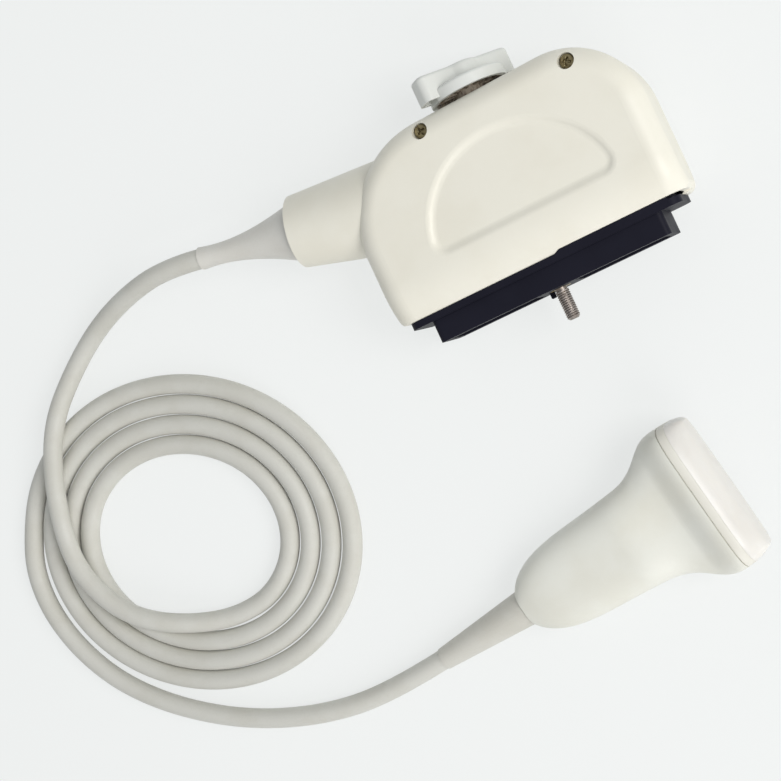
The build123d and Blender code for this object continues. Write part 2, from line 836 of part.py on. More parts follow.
def handle_body(inset):
    """Flared grip of the head, lofted through its cross-sections, `inset` inside its skin."""
    stations = zip(
        handle_station_shares, handle_width_shares, handle_height_shares, handle_squareness_shares
    )
    with BuildPart() as body:
        for along, wide, high, square in stations:
            place = max(along * handle_length, inset)
            with BuildSketch(head_station(place)):
                half_wide = wide * nose_width / 2 - inset
                half_high = high * nose_height / 2 - inset
                add(oval(half_wide, half_high, square * nose_squareness))
        loft()
    return body.part


outer_handle = handle_body(0)
inner_handle = handle_body(handle_wall)
head_board_end = handle_length - head_board_setback
head_board_length = head_board_end - head_board_start
head_posts_at = [head_board_start + head_board_length * share for share in head_post_shares]
head_clamp_seat = head_clamp_start + head_clamp_length / 2


def head_level(along, up):
    """Plane parallel to the head's parting face, `along` its axis and `up` from it."""
    return Plane(
        origin=head_rear + head_axis * along + head_plane.z_dir * up,
        x_dir=head_axis,
        z_dir=head_plane.z_dir,
    )


def head_posts(side):
    """Posts that hold the head's board, from its face out to the shell on one side."""
    with BuildPart() as posts:
        for place in head_posts_at:
            with BuildSketch(head_level(place, side * (head_board_thickness / 2 + seat_gap))):
                Circle(head_post_radius)
            extrude(amount=side * nose_height / 2)
        with BuildSketch(head_level(head_clamp_seat, side * (head_clamp_height / 2 + seat_gap))):
            Circle(head_post_radius)
        extrude(amount=side * nose_height / 2)
        add(outer_handle, mode=Mode.INTERSECT)
    return posts.part


def handle_shell(side, keep, name):
    """One hollow half of the grip, with its board posts."""
    with BuildPart() as shell:
        add(outer_handle)
        add(inner_handle, mode=Mode.SUBTRACT)
        with BuildSketch(head_station(-overrun)):
            Circle(probe_boot_groove_radius + seat_gap)
        extrude(amount=handle_wall + 2 * overrun, mode=Mode.SUBTRACT)
        with BuildSketch(head_station(handle_wall)):
            Circle(probe_boot_collar_radius + seat_gap)
        extrude(amount=probe_boot_collar_length + 2 * seat_gap, mode=Mode.SUBTRACT)
        split(bisect_by=head_plane, keep=keep)
        add(head_posts(side))
    finish(shell, name)


handle_shell(1, Keep.TOP, "handle_upper")
handle_shell(-1, Keep.BOTTOM, "handle_lower")

ring_start = handle_length + gasket_thickness
ring_front = ring_start + ring_length
nose_a = nose_width / 2
nose_b = nose_height / 2
front_a = nose_a - ring_front_inset
front_b = nose_b - ring_front_inset

with BuildPart() as nose_gasket:
    with BuildSketch(head_station(handle_length + running_gap)):
        add(oval(nose_a - gasket_inset, nose_b - gasket_inset, nose_squareness))
    extrude(amount=gasket_thickness - 2 * running_gap)
    with BuildSketch(head_station(handle_length)):
        add(oval(nose_a - gasket_inset - gasket_width, nose_b - gasket_inset - gasket_width, nose_squareness))
    extrude(amount=gasket_thickness, mode=Mode.SUBTRACT)
finish(nose_gasket, "nose_gasket")

with BuildPart() as nose_ring:
    with BuildSketch(head_station(ring_start)):
        add(oval(nose_a, nose_b, nose_squareness))
    with BuildSketch(head_station(ring_front)):
        add(oval(front_a, front_b, nose_squareness))
    loft()
    fillet(faces().sort_by(Axis(head_rear, head_axis))[-1].edges(), ring_rounding)
    with BuildSketch(head_station(ring_start - overrun)):
        add(oval(nose_a - ring_wall, nose_b - ring_wall, nose_squareness))
    extrude(amount=ring_length + 2 * overrun, mode=Mode.SUBTRACT)
    with BuildSketch(head_station(ring_front - ring_lip_depth)):
        add(oval(front_a - ring_lip, front_b - ring_lip, nose_squareness))
    extrude(amount=ring_lip_depth + overrun, mode=Mode.SUBTRACT)
finish(nose_ring, "nose_ring")

lens_back = ring_front - ring_lip_depth + running_gap
lens_edge = ring_front + lens_edge_rise

with BuildPart() as lens:
    with BuildSketch(head_station(lens_back)):
        add(oval(front_a - ring_lip - seat_gap, front_b - ring_lip - seat_gap, nose_squareness))
    extrude(amount=2 * ring_length)
    with BuildSketch(Plane(origin=head_rear, x_dir=head_axis, z_dir=head_side)):
        with BuildLine():
            ThreePointArc((lens_edge, -nose_b), (lens_edge + lens_bulge, 0), (lens_edge, nose_b))
            Polyline((lens_edge, nose_b), (lens_back, nose_b), (lens_back, -nose_b), (lens_edge, -nose_b))
        make_face()
    extrude(amount=nose_a, both=True, mode=Mode.INTERSECT)
    fillet(faces().sort_by(Axis(head_rear, head_axis))[-1].edges(), lens_edge_radius)
finish(lens, "lens")

matching_back = lens_back - running_gap - matching_thickness
array_back = matching_back - running_gap - array_thickness
backing_back = array_back - running_gap - backing_thickness
frame_back = matching_back - frame_depth


def stack_block(name, back, thickness):
    """A rectangular slab of the acoustic stack."""
    with BuildPart() as slab:
        with BuildSketch(head_station(back)):
            Rectangle(array_length, array_width)
        extrude(amount=thickness)
    finish(slab, name)


stack_block("matching_layer", matching_back, matching_thickness)
stack_block("piezo_array", array_back, array_thickness)
stack_block("backing_block", backing_back, backing_thickness)

with BuildPart() as array_frame:
    with BuildSketch(head_station(frame_back)):
        add(oval(nose_a - ring_wall - seat_gap, nose_b - ring_wall - seat_gap, nose_squareness))
        Rectangle(array_length + 2 * seat_gap, array_width + 2 * seat_gap, mode=Mode.SUBTRACT)
    extrude(amount=frame_depth)
finish(array_frame, "array_frame")

flex_end = backing_back - seat_gap
with BuildPart() as flex_circuits:
    for side in (1, -1):
        with BuildSketch(head_station(flex_end - flex_length)):
            with Locations((0, side * (head_board_thickness / 2 + flex_thickness))):
                Rectangle(flex_width, flex_thickness)
        extrude(amount=flex_length)
finish(flex_circuits, "flex_circuits")

with BuildPart() as head_board:
    with BuildSketch(head_station(head_board_start)):
        Rectangle(head_board_width, head_board_thickness)
    extrude(amount=head_board_length)
finish(head_board, "head_board")

probe_tail_end = head_clamp_start + head_clamp_length + seat_gap

with BuildPart() as probe_boot:
    with BuildSketch(Plane(origin=head_rear, x_dir=-head_axis, z_dir=head_side)):
        collar_end = -(handle_wall + seat_gap)
        bore = cable_radius + running_gap
        with BuildLine():
            Polyline(
                (soft_gap, probe_boot_root_radius),
                (probe_boot_length, probe_boot_tip_radius),
                (probe_boot_length, bore),
                (collar_end - probe_boot_collar_length, bore),
                (collar_end - probe_boot_collar_length, probe_boot_collar_radius),
                (collar_end, probe_boot_collar_radius),
                (collar_end, probe_boot_groove_radius),
                (soft_gap, probe_boot_groove_radius),
                close=True,
            )
        make_face()
    revolve(axis=Axis(head_rear, head_axis))
finish(probe_boot, "probe_boot")

with BuildPart() as probe_tail:
    with BuildSketch(head_station(-probe_boot_length)):
        Circle(cable_radius)
    extrude(amount=probe_boot_length + probe_tail_end)
finish(probe_tail, "probe_tail")

with BuildPart() as head_clamp:
    with BuildSketch(head_station(head_clamp_start)):
        Rectangle(head_clamp_width, head_clamp_height)
        fillet(vertices(), head_post_radius)
        Circle(cable_radius + running_gap, mode=Mode.SUBTRACT)
    extrude(amount=head_clamp_length)
finish(head_clamp, "head_clamp")

with BuildPart() as head_wires:
    with BuildSketch(head_station(probe_tail_end + seat_gap)):
        Circle(cable_radius)
    extrude(amount=head_board_start - probe_tail_end - 2 * seat_gap)
finish(head_wires, "head_wires")


# Cable: one lead from the connector's boot, the coil, and one lead to the probe's boot
def coil_point(turns, outwards):
    """Point of the cable's line after `turns`, moved `outwards` across the coil."""
    angle = 2 * pi * turns - pi / 2
    along = coil_long_radius + coil_long_pitch * turns + outwards
    across = coil_short_radius + coil_short_pitch * turns + outwards
    flat = Vector(along * cos(angle), across * sin(angle), 0)
    return coil_centre + flat.rotate(Axis.Z, coil_turn)


def coil_turn_points(first, outwards):
    """One whole turn of the coil's line from `first` turns on."""
    return [coil_point(first + step / coil_steps, outwards) for step in range(coil_steps + 1)]


with BuildPart() as cable_coil:
    outside = coil_turn_points(coil_end - 1, cable_radius)
    inside = coil_turn_points(coil_start, -cable_radius)
    with BuildSketch():
        with BuildLine():
            Spline(*outside)
            Line(outside[-1], outside[0])
        make_face()
        with BuildLine():
            Spline(*inside)
            Line(inside[-1], inside[0])
        make_face(mode=Mode.SUBTRACT)
    extrude(amount=cable_diameter)
    fillet(edges().filter_by(GeomType.BSPLINE), coil_rounding)
finish(cable_coil, "cable_coil")

connector_boot_tip = neck_end + neck_axis * boot_length
probe_boot_tip = head_rear - head_axis * probe_boot_length
coil_inner_end = coil_point(coil_start, 0) + Vector(0, 0, cable_radius)
coil_outer_end = coil_point(coil_end, 0) + Vector(0, 0, cable_radius)

connector_lead_points = [
    connector_boot_tip,
    (-135.8, 29.9, 19.0),
    (-158.5, 28.6, 13.4),
    (-180.0, 23.4, 6.9),
    (-198.5, 12.6, 5.6),
    (-211.5, -0.8, 10.2),
    (-219.8, -17.0, 12.9),
    (-227.2, -38.5, 12.6),
    (-229.6, -60.0, 12.6),
    (-221.0, -80.0, 12.4),
    (-208.4, -91.8, 11.2),
    (-193.4, -99.4, 7.8),
    (-179.2, -103.3, 4.6),
    coil_inner_end,
]
probe_lead_points = [
    coil_outer_end,
    (-253.5, -53.0, 3.9),
    (-254.5, -71.0, 3.9),
    (-249.0, -91.0, 3.9),
    (-236.8, -111.0, 3.9),
    (-216.5, -129.0, 3.9),
    (-190.0, -143.8, 3.9),
    (-160.0, -152.6, 3.9),
    (-130.3, -154.2, 3.9),
    probe_boot_tip,
]


def cable_lead(points, name):
    """Tube of the cable's section along straight runs joined by tangent arcs."""
    places = [Vector(point) for point in points]
    runs = [end - start for start, end in zip(places, places[1:])]
    radii = []
    for before, after in zip(runs, runs[1:]):
        half_turn = radians(before.get_angle(after)) / 2
        shorter = min(before.length, after.length)
        radii.append(cable_bend_share * shorter * cos(half_turn) / sin(half_turn))
    with BuildPart() as lead:
        with BuildLine() as path:
            FilletPolyline(*places, radius=radii)
        with BuildSketch(path.wire() ^ 0):
            Circle(cable_radius)
        sweep()
    print(name, "bend radii", [round(radius, 1) for radius in radii])
    print(name, "length", path.wire().length, "tube", lead.part.volume / (pi * cable_radius**2))
    finish(lead, name)


cable_lead(connector_lead_points, "connector_lead")
cable_lead(probe_lead_points, "probe_lead")
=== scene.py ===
"""Looks of an ultrasound transducer: a linear head, its coiled cable and its lock-screw connector.

Everything is in metres in the model's own frame: X runs along the connector, +Y towards its knob
and +Z up, with the resting face of the connector's back cover on z = 0.
"""

from __future__ import annotations

import logging
import math
from dataclasses import dataclass, field
from enum import Enum
from typing import Any, Sequence

import bmesh
import bpy
import numpy as np
from mathutils import Matrix

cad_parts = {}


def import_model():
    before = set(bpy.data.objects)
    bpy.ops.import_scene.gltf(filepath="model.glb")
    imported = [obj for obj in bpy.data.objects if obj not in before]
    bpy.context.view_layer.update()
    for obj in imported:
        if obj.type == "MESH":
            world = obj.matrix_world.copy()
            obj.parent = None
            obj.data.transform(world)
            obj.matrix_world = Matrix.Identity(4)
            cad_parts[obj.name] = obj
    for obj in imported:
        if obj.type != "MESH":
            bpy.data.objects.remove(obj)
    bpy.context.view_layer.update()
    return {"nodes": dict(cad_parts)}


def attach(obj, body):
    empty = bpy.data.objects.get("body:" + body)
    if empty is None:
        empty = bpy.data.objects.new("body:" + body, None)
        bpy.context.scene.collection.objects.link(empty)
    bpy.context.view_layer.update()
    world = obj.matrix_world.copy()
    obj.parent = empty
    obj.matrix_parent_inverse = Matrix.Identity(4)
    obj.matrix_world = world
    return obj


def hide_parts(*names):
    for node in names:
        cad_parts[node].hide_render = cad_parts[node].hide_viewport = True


log = logging.getLogger("probe")

Colour = tuple[float, float, float]
Place = tuple[float, float, float]
Span = tuple[float, float]

MM = 0.001
SAME_POINT = 0.001 * MM
NOISE_ROUGHNESS = 0.55
CLOUD_SIZE = 26 * MM
CLOUD_STEPS = (0.35, 0.68)
CLOUD_SHARE = 0.6
SPECKLE_SIZE = 1.4 * MM
SPECKLE_SHARE = 0.2


def srgb(red: float, green: float, blue: float) -> Colour:
    """Linear colour of a display colour whose channels run from 0 to 255.

    Args:
        red: Red channel.
        green: Green channel.
        blue: Blue channel.

    Returns:
        The three linear channels.
    """
    channel = np.array([red, green, blue]) / 255.0
    linear = np.where(channel <= 0.04045, channel / 12.92, ((channel + 0.055) / 1.055) ** 2.4)
    return tuple(float(value) for value in linear)


# Shader arithmetic


class Signal:
    """A value that varies over a surface, held as a shader socket that can be reckoned with."""

    def __init__(self, recipe: "Recipe", socket: bpy.types.NodeSocket) -> None:
        """Wrap one output socket of a recipe's node tree."""
        self.recipe = recipe
        self.socket = socket

    def _with(self, operation: str, left: Any, right: Any) -> "Signal":
        """Signal of one Math operation on two values."""
        node = self.recipe.node("ShaderNodeMath", {"operation": operation}, {0: left, 1: right})
        return Signal(self.recipe, node.outputs[0])

    def __add__(self, other: Any) -> "Signal":
        """Sum of the two values."""
        return self._with("ADD", self, other)

    def __radd__(self, other: Any) -> "Signal":
        """Sum with the number on the left."""
        return self._with("ADD", other, self)

    def __sub__(self, other: Any) -> "Signal":
        """This value less the other."""
        return self._with("SUBTRACT", self, other)

    def __rsub__(self, other: Any) -> "Signal":
        """The number on the left less this value."""
        return self._with("SUBTRACT", other, self)

    def __mul__(self, other: Any) -> "Signal":
        """Product of the two values."""
        return self._with("MULTIPLY", self, other)

    def __rmul__(self, other: Any) -> "Signal":
        """Product with the number on the left."""
        return self._with("MULTIPLY", other, self)

    def __pow__(self, other: Any) -> "Signal":
        """This value raised to a power."""
        return self._with("POWER", self, other)

    def steps(self, low: float, high: float, start: float = 0.0, end: float = 1.0) -> "Signal":
        """Smooth climb from `start` to `end` as the value goes from `low` to `high`.

        Args:
            low: Value at which the climb begins.
            high: Value at which it ends.
            start: Result at and under `low`.
            end: Result at and over `high`.

        Returns:
            The mapped signal.
        """
        node = self.recipe.node(
            "ShaderNodeMapRange",
            {"interpolation_type": "SMOOTHSTEP"},
            {"Value": self, "From Min": low, "From Max": high, "To Min": start, "To Max": end},
        )
        return Signal(self.recipe, node.outputs["Result"])


Input = Signal | float | Sequence[float]


class Recipe:
    """Node tree of one material, built by a few short calls."""

    def __init__(self, name: str) -> None:
        """Start an empty material of that name."""
        self.material = bpy.data.materials.new(name)
        self.material.use_nodes = True
        self.tree = self.material.node_tree
        self.tree.nodes.clear()
        self.output = self.tree.nodes.new("ShaderNodeOutputMaterial")

    def node(
        self,
        kind: str,
        settings: dict[str, Any] | None = None,
        inputs: dict[str | int, Input] | None = None,
    ) -> bpy.types.Node:
        """Add one node.

        Args:
            kind: Type name of the node.
            settings: Properties of the node, set before its sockets.
            inputs: Values or signals of its sockets, by name or number.

        Returns:
            The new node.
        """
        made = self.tree.nodes.new(kind)
        for key, value in (settings or {}).items():
            setattr(made, key, value)
        for key, value in (inputs or {}).items():
            if isinstance(value, Signal):
                self.tree.links.new(value.socket, made.inputs[key])
            else:
                made.inputs[key].default_value = value
        return made

    def place(self) -> Signal:
        """Object coordinates, in metres."""
        return Signal(self, self.node("ShaderNodeTexCoord").outputs["Object"])

    def stretched(self, scale: Place, turn: Place = (0.0, 0.0, 0.0)) -> Signal:
        """Object coordinates, scaled and then turned.

        Args:
            scale: Factor along each axis.
            turn: Angle round each axis, in radians.

        Returns:
            The changed coordinates.
        """
        made = self.node(
            "ShaderNodeMapping",
            {"vector_type": "POINT"},
            {"Vector": self.place(), "Rotation": turn, "Scale": scale},
        )
        return Signal(self, made.outputs["Vector"])

    def noise(self, size: float, detail: float = 2.0, where: Signal | None = None) -> Signal:
        """Cloudy value from 0 to 1 whose patches are about `size` metres wide.

        Args:
            size: Width of one patch.
            detail: Number of finer layers.
            where: Coordinates to read, or None for Object coordinates.

        Returns:
            The noise as a signal.
        """
        made = self.node(
            "ShaderNodeTexNoise",
            {"noise_dimensions": "3D"},
            {
                "Vector": where or self.place(),
                "Scale": 1.0 / size,
                "Detail": detail,
                "Roughness": NOISE_ROUGHNESS,
            },
        )
        return Signal(self, made.outputs["Fac"])

    def cells(self, size: float) -> Signal:
        """Distance to the nearest of scattered points that lie about `size` metres apart."""
        made = self.node(
            "ShaderNodeTexVoronoi",
            {"feature": "F1"},
            {"Vector": self.place(), "Scale": 1.0 / size},
        )
        return Signal(self, made.outputs["Distance"])

    def blend(self, share: Input, under: Input, over: Input) -> Signal:
        """Colour between two others.

        Args:
            share: Weight of the second colour, from 0 to 1.
            under: Colour where the share is 0.
            over: Colour where the share is 1.

        Returns:
            The blended colour.
        """

        def filled(colour: Input) -> Input:
            """A plain colour with its opacity, or the signal itself."""
            return colour if isinstance(colour, Signal) else (*colour, 1.0)

        made = self.node(
            "ShaderNodeMix",
            {"data_type": "RGBA"},
            {0: share, 6: filled(under), 7: filled(over)},
        )
        return Signal(self, made.outputs[2])

    def cloud(self) -> Signal:
        """Broad soft patches in which a moulding's colour drifts."""
        return self.noise(CLOUD_SIZE, detail=3.0).steps(*CLOUD_STEPS)

    def mottled(self, cloud: Signal, colour: Colour, warmed: Colour) -> Signal:
        """Colour of a moulding, which drifts in clouds and in fine speckles.

        Args:
            cloud: The clouds.
            colour: One end of the drift.
            warmed: Its warmer end.

        Returns:
            The colour as a signal.
        """
        speckle = self.noise(SPECKLE_SIZE)
        return self.blend(cloud * CLOUD_SHARE + speckle * SPECKLE_SHARE, colour, warmed)

    def bump(self, height: Signal, depth: float) -> Signal:
        """Normal of a surface whose relief is `height` times `depth` metres."""
        sockets = {"Height": height, "Distance": depth, "Strength": 1.0}
        return Signal(self, self.node("ShaderNodeBump", None, sockets).outputs["Normal"])

    def finish(self, **inputs: Input) -> bpy.types.Material:
        """Close the recipe with a Principled shader.

        Args:
            **inputs: Its sockets, with underscores for the spaces in their names.

        Returns:
            The finished material.
        """
        named = {key.replace("_", " "): value for key, value in inputs.items()}
        shader = self.node("ShaderNodeBsdfPrincipled", None, named)
        self.tree.links.new(shader.outputs[0], self.output.inputs["Surface"])
        return self.material


# Finishes


@dataclass(frozen=True)
class Moulding:
    """Spark-grained moulded plastic, a little uneven in colour and gloss."""

    name: str
    colour: Colour
    warmed: Colour
    roughness: float = 0.42
    grain: float = 0.35 * MM
    relief: float = 0.012 * MM
    specular: float = 0.5
    scuffs: float = 0.06
    handled_size: float = 9 * MM
    handled_steps: Span = (0.45, 0.7)
    rubbed_size: float = 2.2 * MM
    rubbed_steps: Span = (0.6, 0.75)
    rubbed_share: float = 0.6
    stroke_scale: Place = (0.25, 2.0, 1.0)
    stroke_turn: Place = (0.0, 0.0, 0.6)
    pit_spread: float = 1.7
    pit_share: float = 0.4

    def material(self) -> bpy.types.Material:
        """Mottled colour, scuffed gloss and fine pits.

        Returns:
            The finish as a material.
        """
        recipe = Recipe(self.name)
        handled = recipe.noise(self.handled_size, detail=4.0).steps(*self.handled_steps)
        strokes = recipe.stretched(self.stroke_scale, self.stroke_turn)
        rubbed = recipe.noise(self.rubbed_size, detail=3.0, where=strokes)
        scratched = rubbed.steps(*self.rubbed_steps) * (self.scuffs * self.rubbed_share)
        spread = recipe.cells(self.grain * self.pit_spread)
        pits = recipe.noise(self.grain) + spread * self.pit_share
        return recipe.finish(
            Base_Color=recipe.mottled(recipe.cloud(), self.colour, self.warmed),
            Roughness=self.roughness + handled * self.scuffs + scratched,
            Specular_IOR_Level=self.specular,
            Normal=recipe.bump(pits, self.relief),
        )


@dataclass(frozen=True)
class HollowKnob:
    """Smooth white knob moulding; the ribbed hollow under the skirt has brown-grey painted shade
    in its colour, streaked for the ribs' shading, and is duller.
    """

    name: str
    colour: Colour
    warmed: Colour
    roughness: float = 0.36
    grain: float = 0.3 * MM
    relief: float = 0.006 * MM
    # Painted shade: two brown-grey colours that stand in for the shadow in the hollow under the
    # skirt.
    hollow_shade: Colour = srgb(186, 174, 158)
    hollow_deep_shade: Colour = srgb(124, 106, 92)
    streak_size: float = 1.6 * MM
    streak_scale: Place = (1.0, 0.3, 1.0)
    streak_steps: Span = (0.42, 0.64)
    cloud_dulling: float = 0.08
    hollow_dulling: float = 0.25
    axis_height: float = 19.0 * MM
    hollow_radius: float = 12.8 * MM
    hollow_top: float = 37.1 * MM
    edge: float = 0.15 * MM

    def material(self) -> bpy.types.Material:
        """Mottled shell, and streaked painted shade where a point is near the axis and under the
        top.

        Returns:
            The finish as a material.
        """
        recipe = Recipe(self.name)
        cloud = recipe.cloud()
        shell = recipe.mottled(cloud, self.colour, self.warmed)
        # Painted shade of the hollow: streaks between the two shade colours give the shaded ribs,
        # masked to points near the axis and under the top.
        streaks = recipe.noise(self.streak_size, 3.0, recipe.stretched(self.streak_scale))
        hollow_shade = recipe.blend(streaks.steps(*self.streak_steps), self.hollow_shade, self.hollow_deep_shade)
        parts = recipe.node("ShaderNodeSeparateXYZ", None, {0: recipe.place()})
        x, y, z = (Signal(recipe, output) for output in parts.outputs)
        radius = (x * x + (z - self.axis_height) ** 2.0) ** 0.5
        hollow = radius.steps(self.hollow_radius - self.edge, self.hollow_radius, 1.0, 0.0)
        hollow = hollow * y.steps(self.hollow_top - self.edge, self.hollow_top, 1.0, 0.0)
        return recipe.finish(
            Base_Color=recipe.blend(hollow, shell, hollow_shade),
            Roughness=self.roughness + cloud * self.cloud_dulling + hollow * self.hollow_dulling,
            Normal=recipe.bump(recipe.noise(self.grain), self.relief),
        )


@dataclass(frozen=True)
class Jacket:
    """Soft cable jacket or bend protector: satin, with fine flow marks and handling dust."""

    name: str
    colour: Colour
    dusty: Colour
    roughness: float = 0.5
    relief: float = 0.02 * MM
    drift_size: float = 14 * MM
    drift_steps: Span = (0.38, 0.66)
    drift_share: float = 0.55
    drift_dulling: float = 0.08
    dust_size: float = 0.7 * MM
    dust_steps: Span = (0.52, 0.72)
    dust_share: float = 0.3
    dust_dulling: float = 0.05
    flow_size: float = 0.5 * MM
    cell_size: float = 0.9 * MM
    cell_share: float = 0.5
    sheen: float = 0.08
    sheen_roughness: float = 0.5

    def material(self) -> bpy.types.Material:
        """Drifting, dusted colour with a faint sheen.

        Returns:
            The finish as a material.
        """
        recipe = Recipe(self.name)
        drift = recipe.noise(self.drift_size, detail=4.0).steps(*self.drift_steps)
        dust = recipe.noise(self.dust_size, detail=3.0).steps(*self.dust_steps)
        dusted = drift * self.drift_share + dust * self.dust_share
        flow = recipe.noise(self.flow_size) + recipe.cells(self.cell_size) * self.cell_share
        return recipe.finish(
            Base_Color=recipe.blend(dusted, self.colour, self.dusty),
            Roughness=self.roughness + drift * self.drift_dulling + dust * self.dust_dulling,
            Sheen_Weight=self.sheen,
            Sheen_Roughness=self.sheen_roughness,
            Normal=recipe.bump(flow, self.relief),
        )


@dataclass(frozen=True)
class Turned:
    """Turned or pressed metal with fine lines round one axis and a trace of tarnish."""

    name: str
    colour: Colour
    tarnish: Colour
    roughness: float = 0.3
    lines: Place = (1.0, 18.0, 1.0)
    stain_size: float = 1.8 * MM
    stain_steps: Span = (0.45, 0.7)
    stain_dulling: float = 0.18
    stain_veil: float = 0.15
    mark_size: float = 1.2 * MM
    mark_dulling: float = 0.08
    relief: float = 0.006 * MM

    def material(self) -> bpy.types.Material:
        """Metal that is duller and less bright where it is stained.

        Returns:
            The finish as a material.
        """
        recipe = Recipe(self.name)
        stain = recipe.noise(self.stain_size, detail=4.0).steps(*self.stain_steps)
        marks = recipe.noise(self.mark_size, detail=3.0, where=recipe.stretched(self.lines))
        return recipe.finish(
            Base_Color=recipe.blend(stain, self.colour, self.tarnish),
            Metallic=1.0 - stain * self.stain_veil,
            Roughness=self.roughness + stain * self.stain_dulling + marks * self.mark_dulling,
            Normal=recipe.bump(marks, self.relief),
        )


@dataclass(frozen=True)
class Laminate:
    """Circuit board: solder mask over a faint weave, with bright broken tracks."""

    name: str
    mask: Colour
    track: Colour
    pitch: float = 1.27 * MM
    band_scale: float = 0.31
    track_steps: Span = (0.72, 0.8)
    run_size: float = 6 * MM
    run_steps: Span = (0.48, 0.52)
    roughness: float = 0.3
    smear_size: float = 3 * MM
    smear_dulling: float = 0.15
    weave_size: float = 0.4 * MM
    weave_share: float = 0.3
    relief: float = 0.02 * MM

    def material(self) -> bpy.types.Material:
        """Bands at the tracks' pitch, broken by patches.

        Returns:
            The finish as a material.
        """
        recipe = Recipe(self.name)
        bands = recipe.node(
            "ShaderNodeTexWave",
            {"wave_type": "BANDS", "bands_direction": "X"},
            {
                "Vector": recipe.place(),
                "Scale": self.band_scale / self.pitch,
                "Distortion": 0.0,
                "Detail": 0.0,
            },
        )
        tracks = Signal(recipe, bands.outputs["Fac"]).steps(*self.track_steps)
        copper = tracks * recipe.noise(self.run_size, detail=1.0).steps(*self.run_steps)
        weave = recipe.noise(self.weave_size, detail=1.0)
        return recipe.finish(
            Base_Color=recipe.blend(copper, self.mask, self.track),
            Roughness=self.roughness + recipe.noise(self.smear_size) * self.smear_dulling,
            Normal=recipe.bump(copper + weave * self.weave_share, self.relief),
        )


@dataclass(frozen=True)
class Filled:
    """Cast or sintered block with fine grains, as resin, ceramic or bundled strands."""

    name: str
    colour: Colour
    grains: Colour
    size: float = 0.4 * MM
    roughness: float = 0.55
    stretch: Place = (1.0, 1.0, 1.0)
    grain_steps: Span = (0.45, 0.62)
    grain_dulling: float = 0.1
    relief: float = 0.03 * MM

    def material(self) -> bpy.types.Material:
        """Grains of another colour that stand out a little.

        Returns:
            The finish as a material.
        """
        recipe = Recipe(self.name)
        where = recipe.stretched(self.stretch)
        speck = recipe.noise(self.size, detail=3.0, where=where).steps(*self.grain_steps)
        return recipe.finish(
            Base_Color=recipe.blend(speck, self.colour, self.grains),
            Roughness=self.roughness + speck * self.grain_dulling,
            Normal=recipe.bump(speck, self.relief),
        )


@dataclass(frozen=True)
class Silicone:
    """Milky lens rubber, smooth and faintly waxy."""

    name: str
    colour: Colour
    deep: Colour
    roughness: float = 0.31
    haze_size: float = 18 * MM
    haze_steps: Span = (0.4, 0.65)
    haze_share: float = 0.5
    print_size: float = 3.5 * MM
    print_steps: Span = (0.5, 0.72)
    print_dulling: float = 0.08
    scatter_share: float = 0.15
    scatter_radii: Place = (2.0, 1.8, 1.5)
    scatter_scale: float = 1.0 * MM
    grain: float = 0.8 * MM
    relief: float = 0.006 * MM

    def material(self) -> bpy.types.Material:
        """Hazy colour over scattered light, dulled by finger prints.

        Returns:
            The finish as a material.
        """
        recipe = Recipe(self.name)
        haze = recipe.noise(self.haze_size, detail=3.0).steps(*self.haze_steps)
        prints = recipe.noise(self.print_size, detail=4.0).steps(*self.print_steps)
        return recipe.finish(
            Base_Color=recipe.blend(haze * self.haze_share, self.colour, self.deep),
            Roughness=self.roughness + prints * self.print_dulling,
            Subsurface_Weight=self.scatter_share,
            Subsurface_Radius=self.scatter_radii,
            Subsurface_Scale=self.scatter_scale,
            Normal=recipe.bump(recipe.noise(self.grain), self.relief),
        )


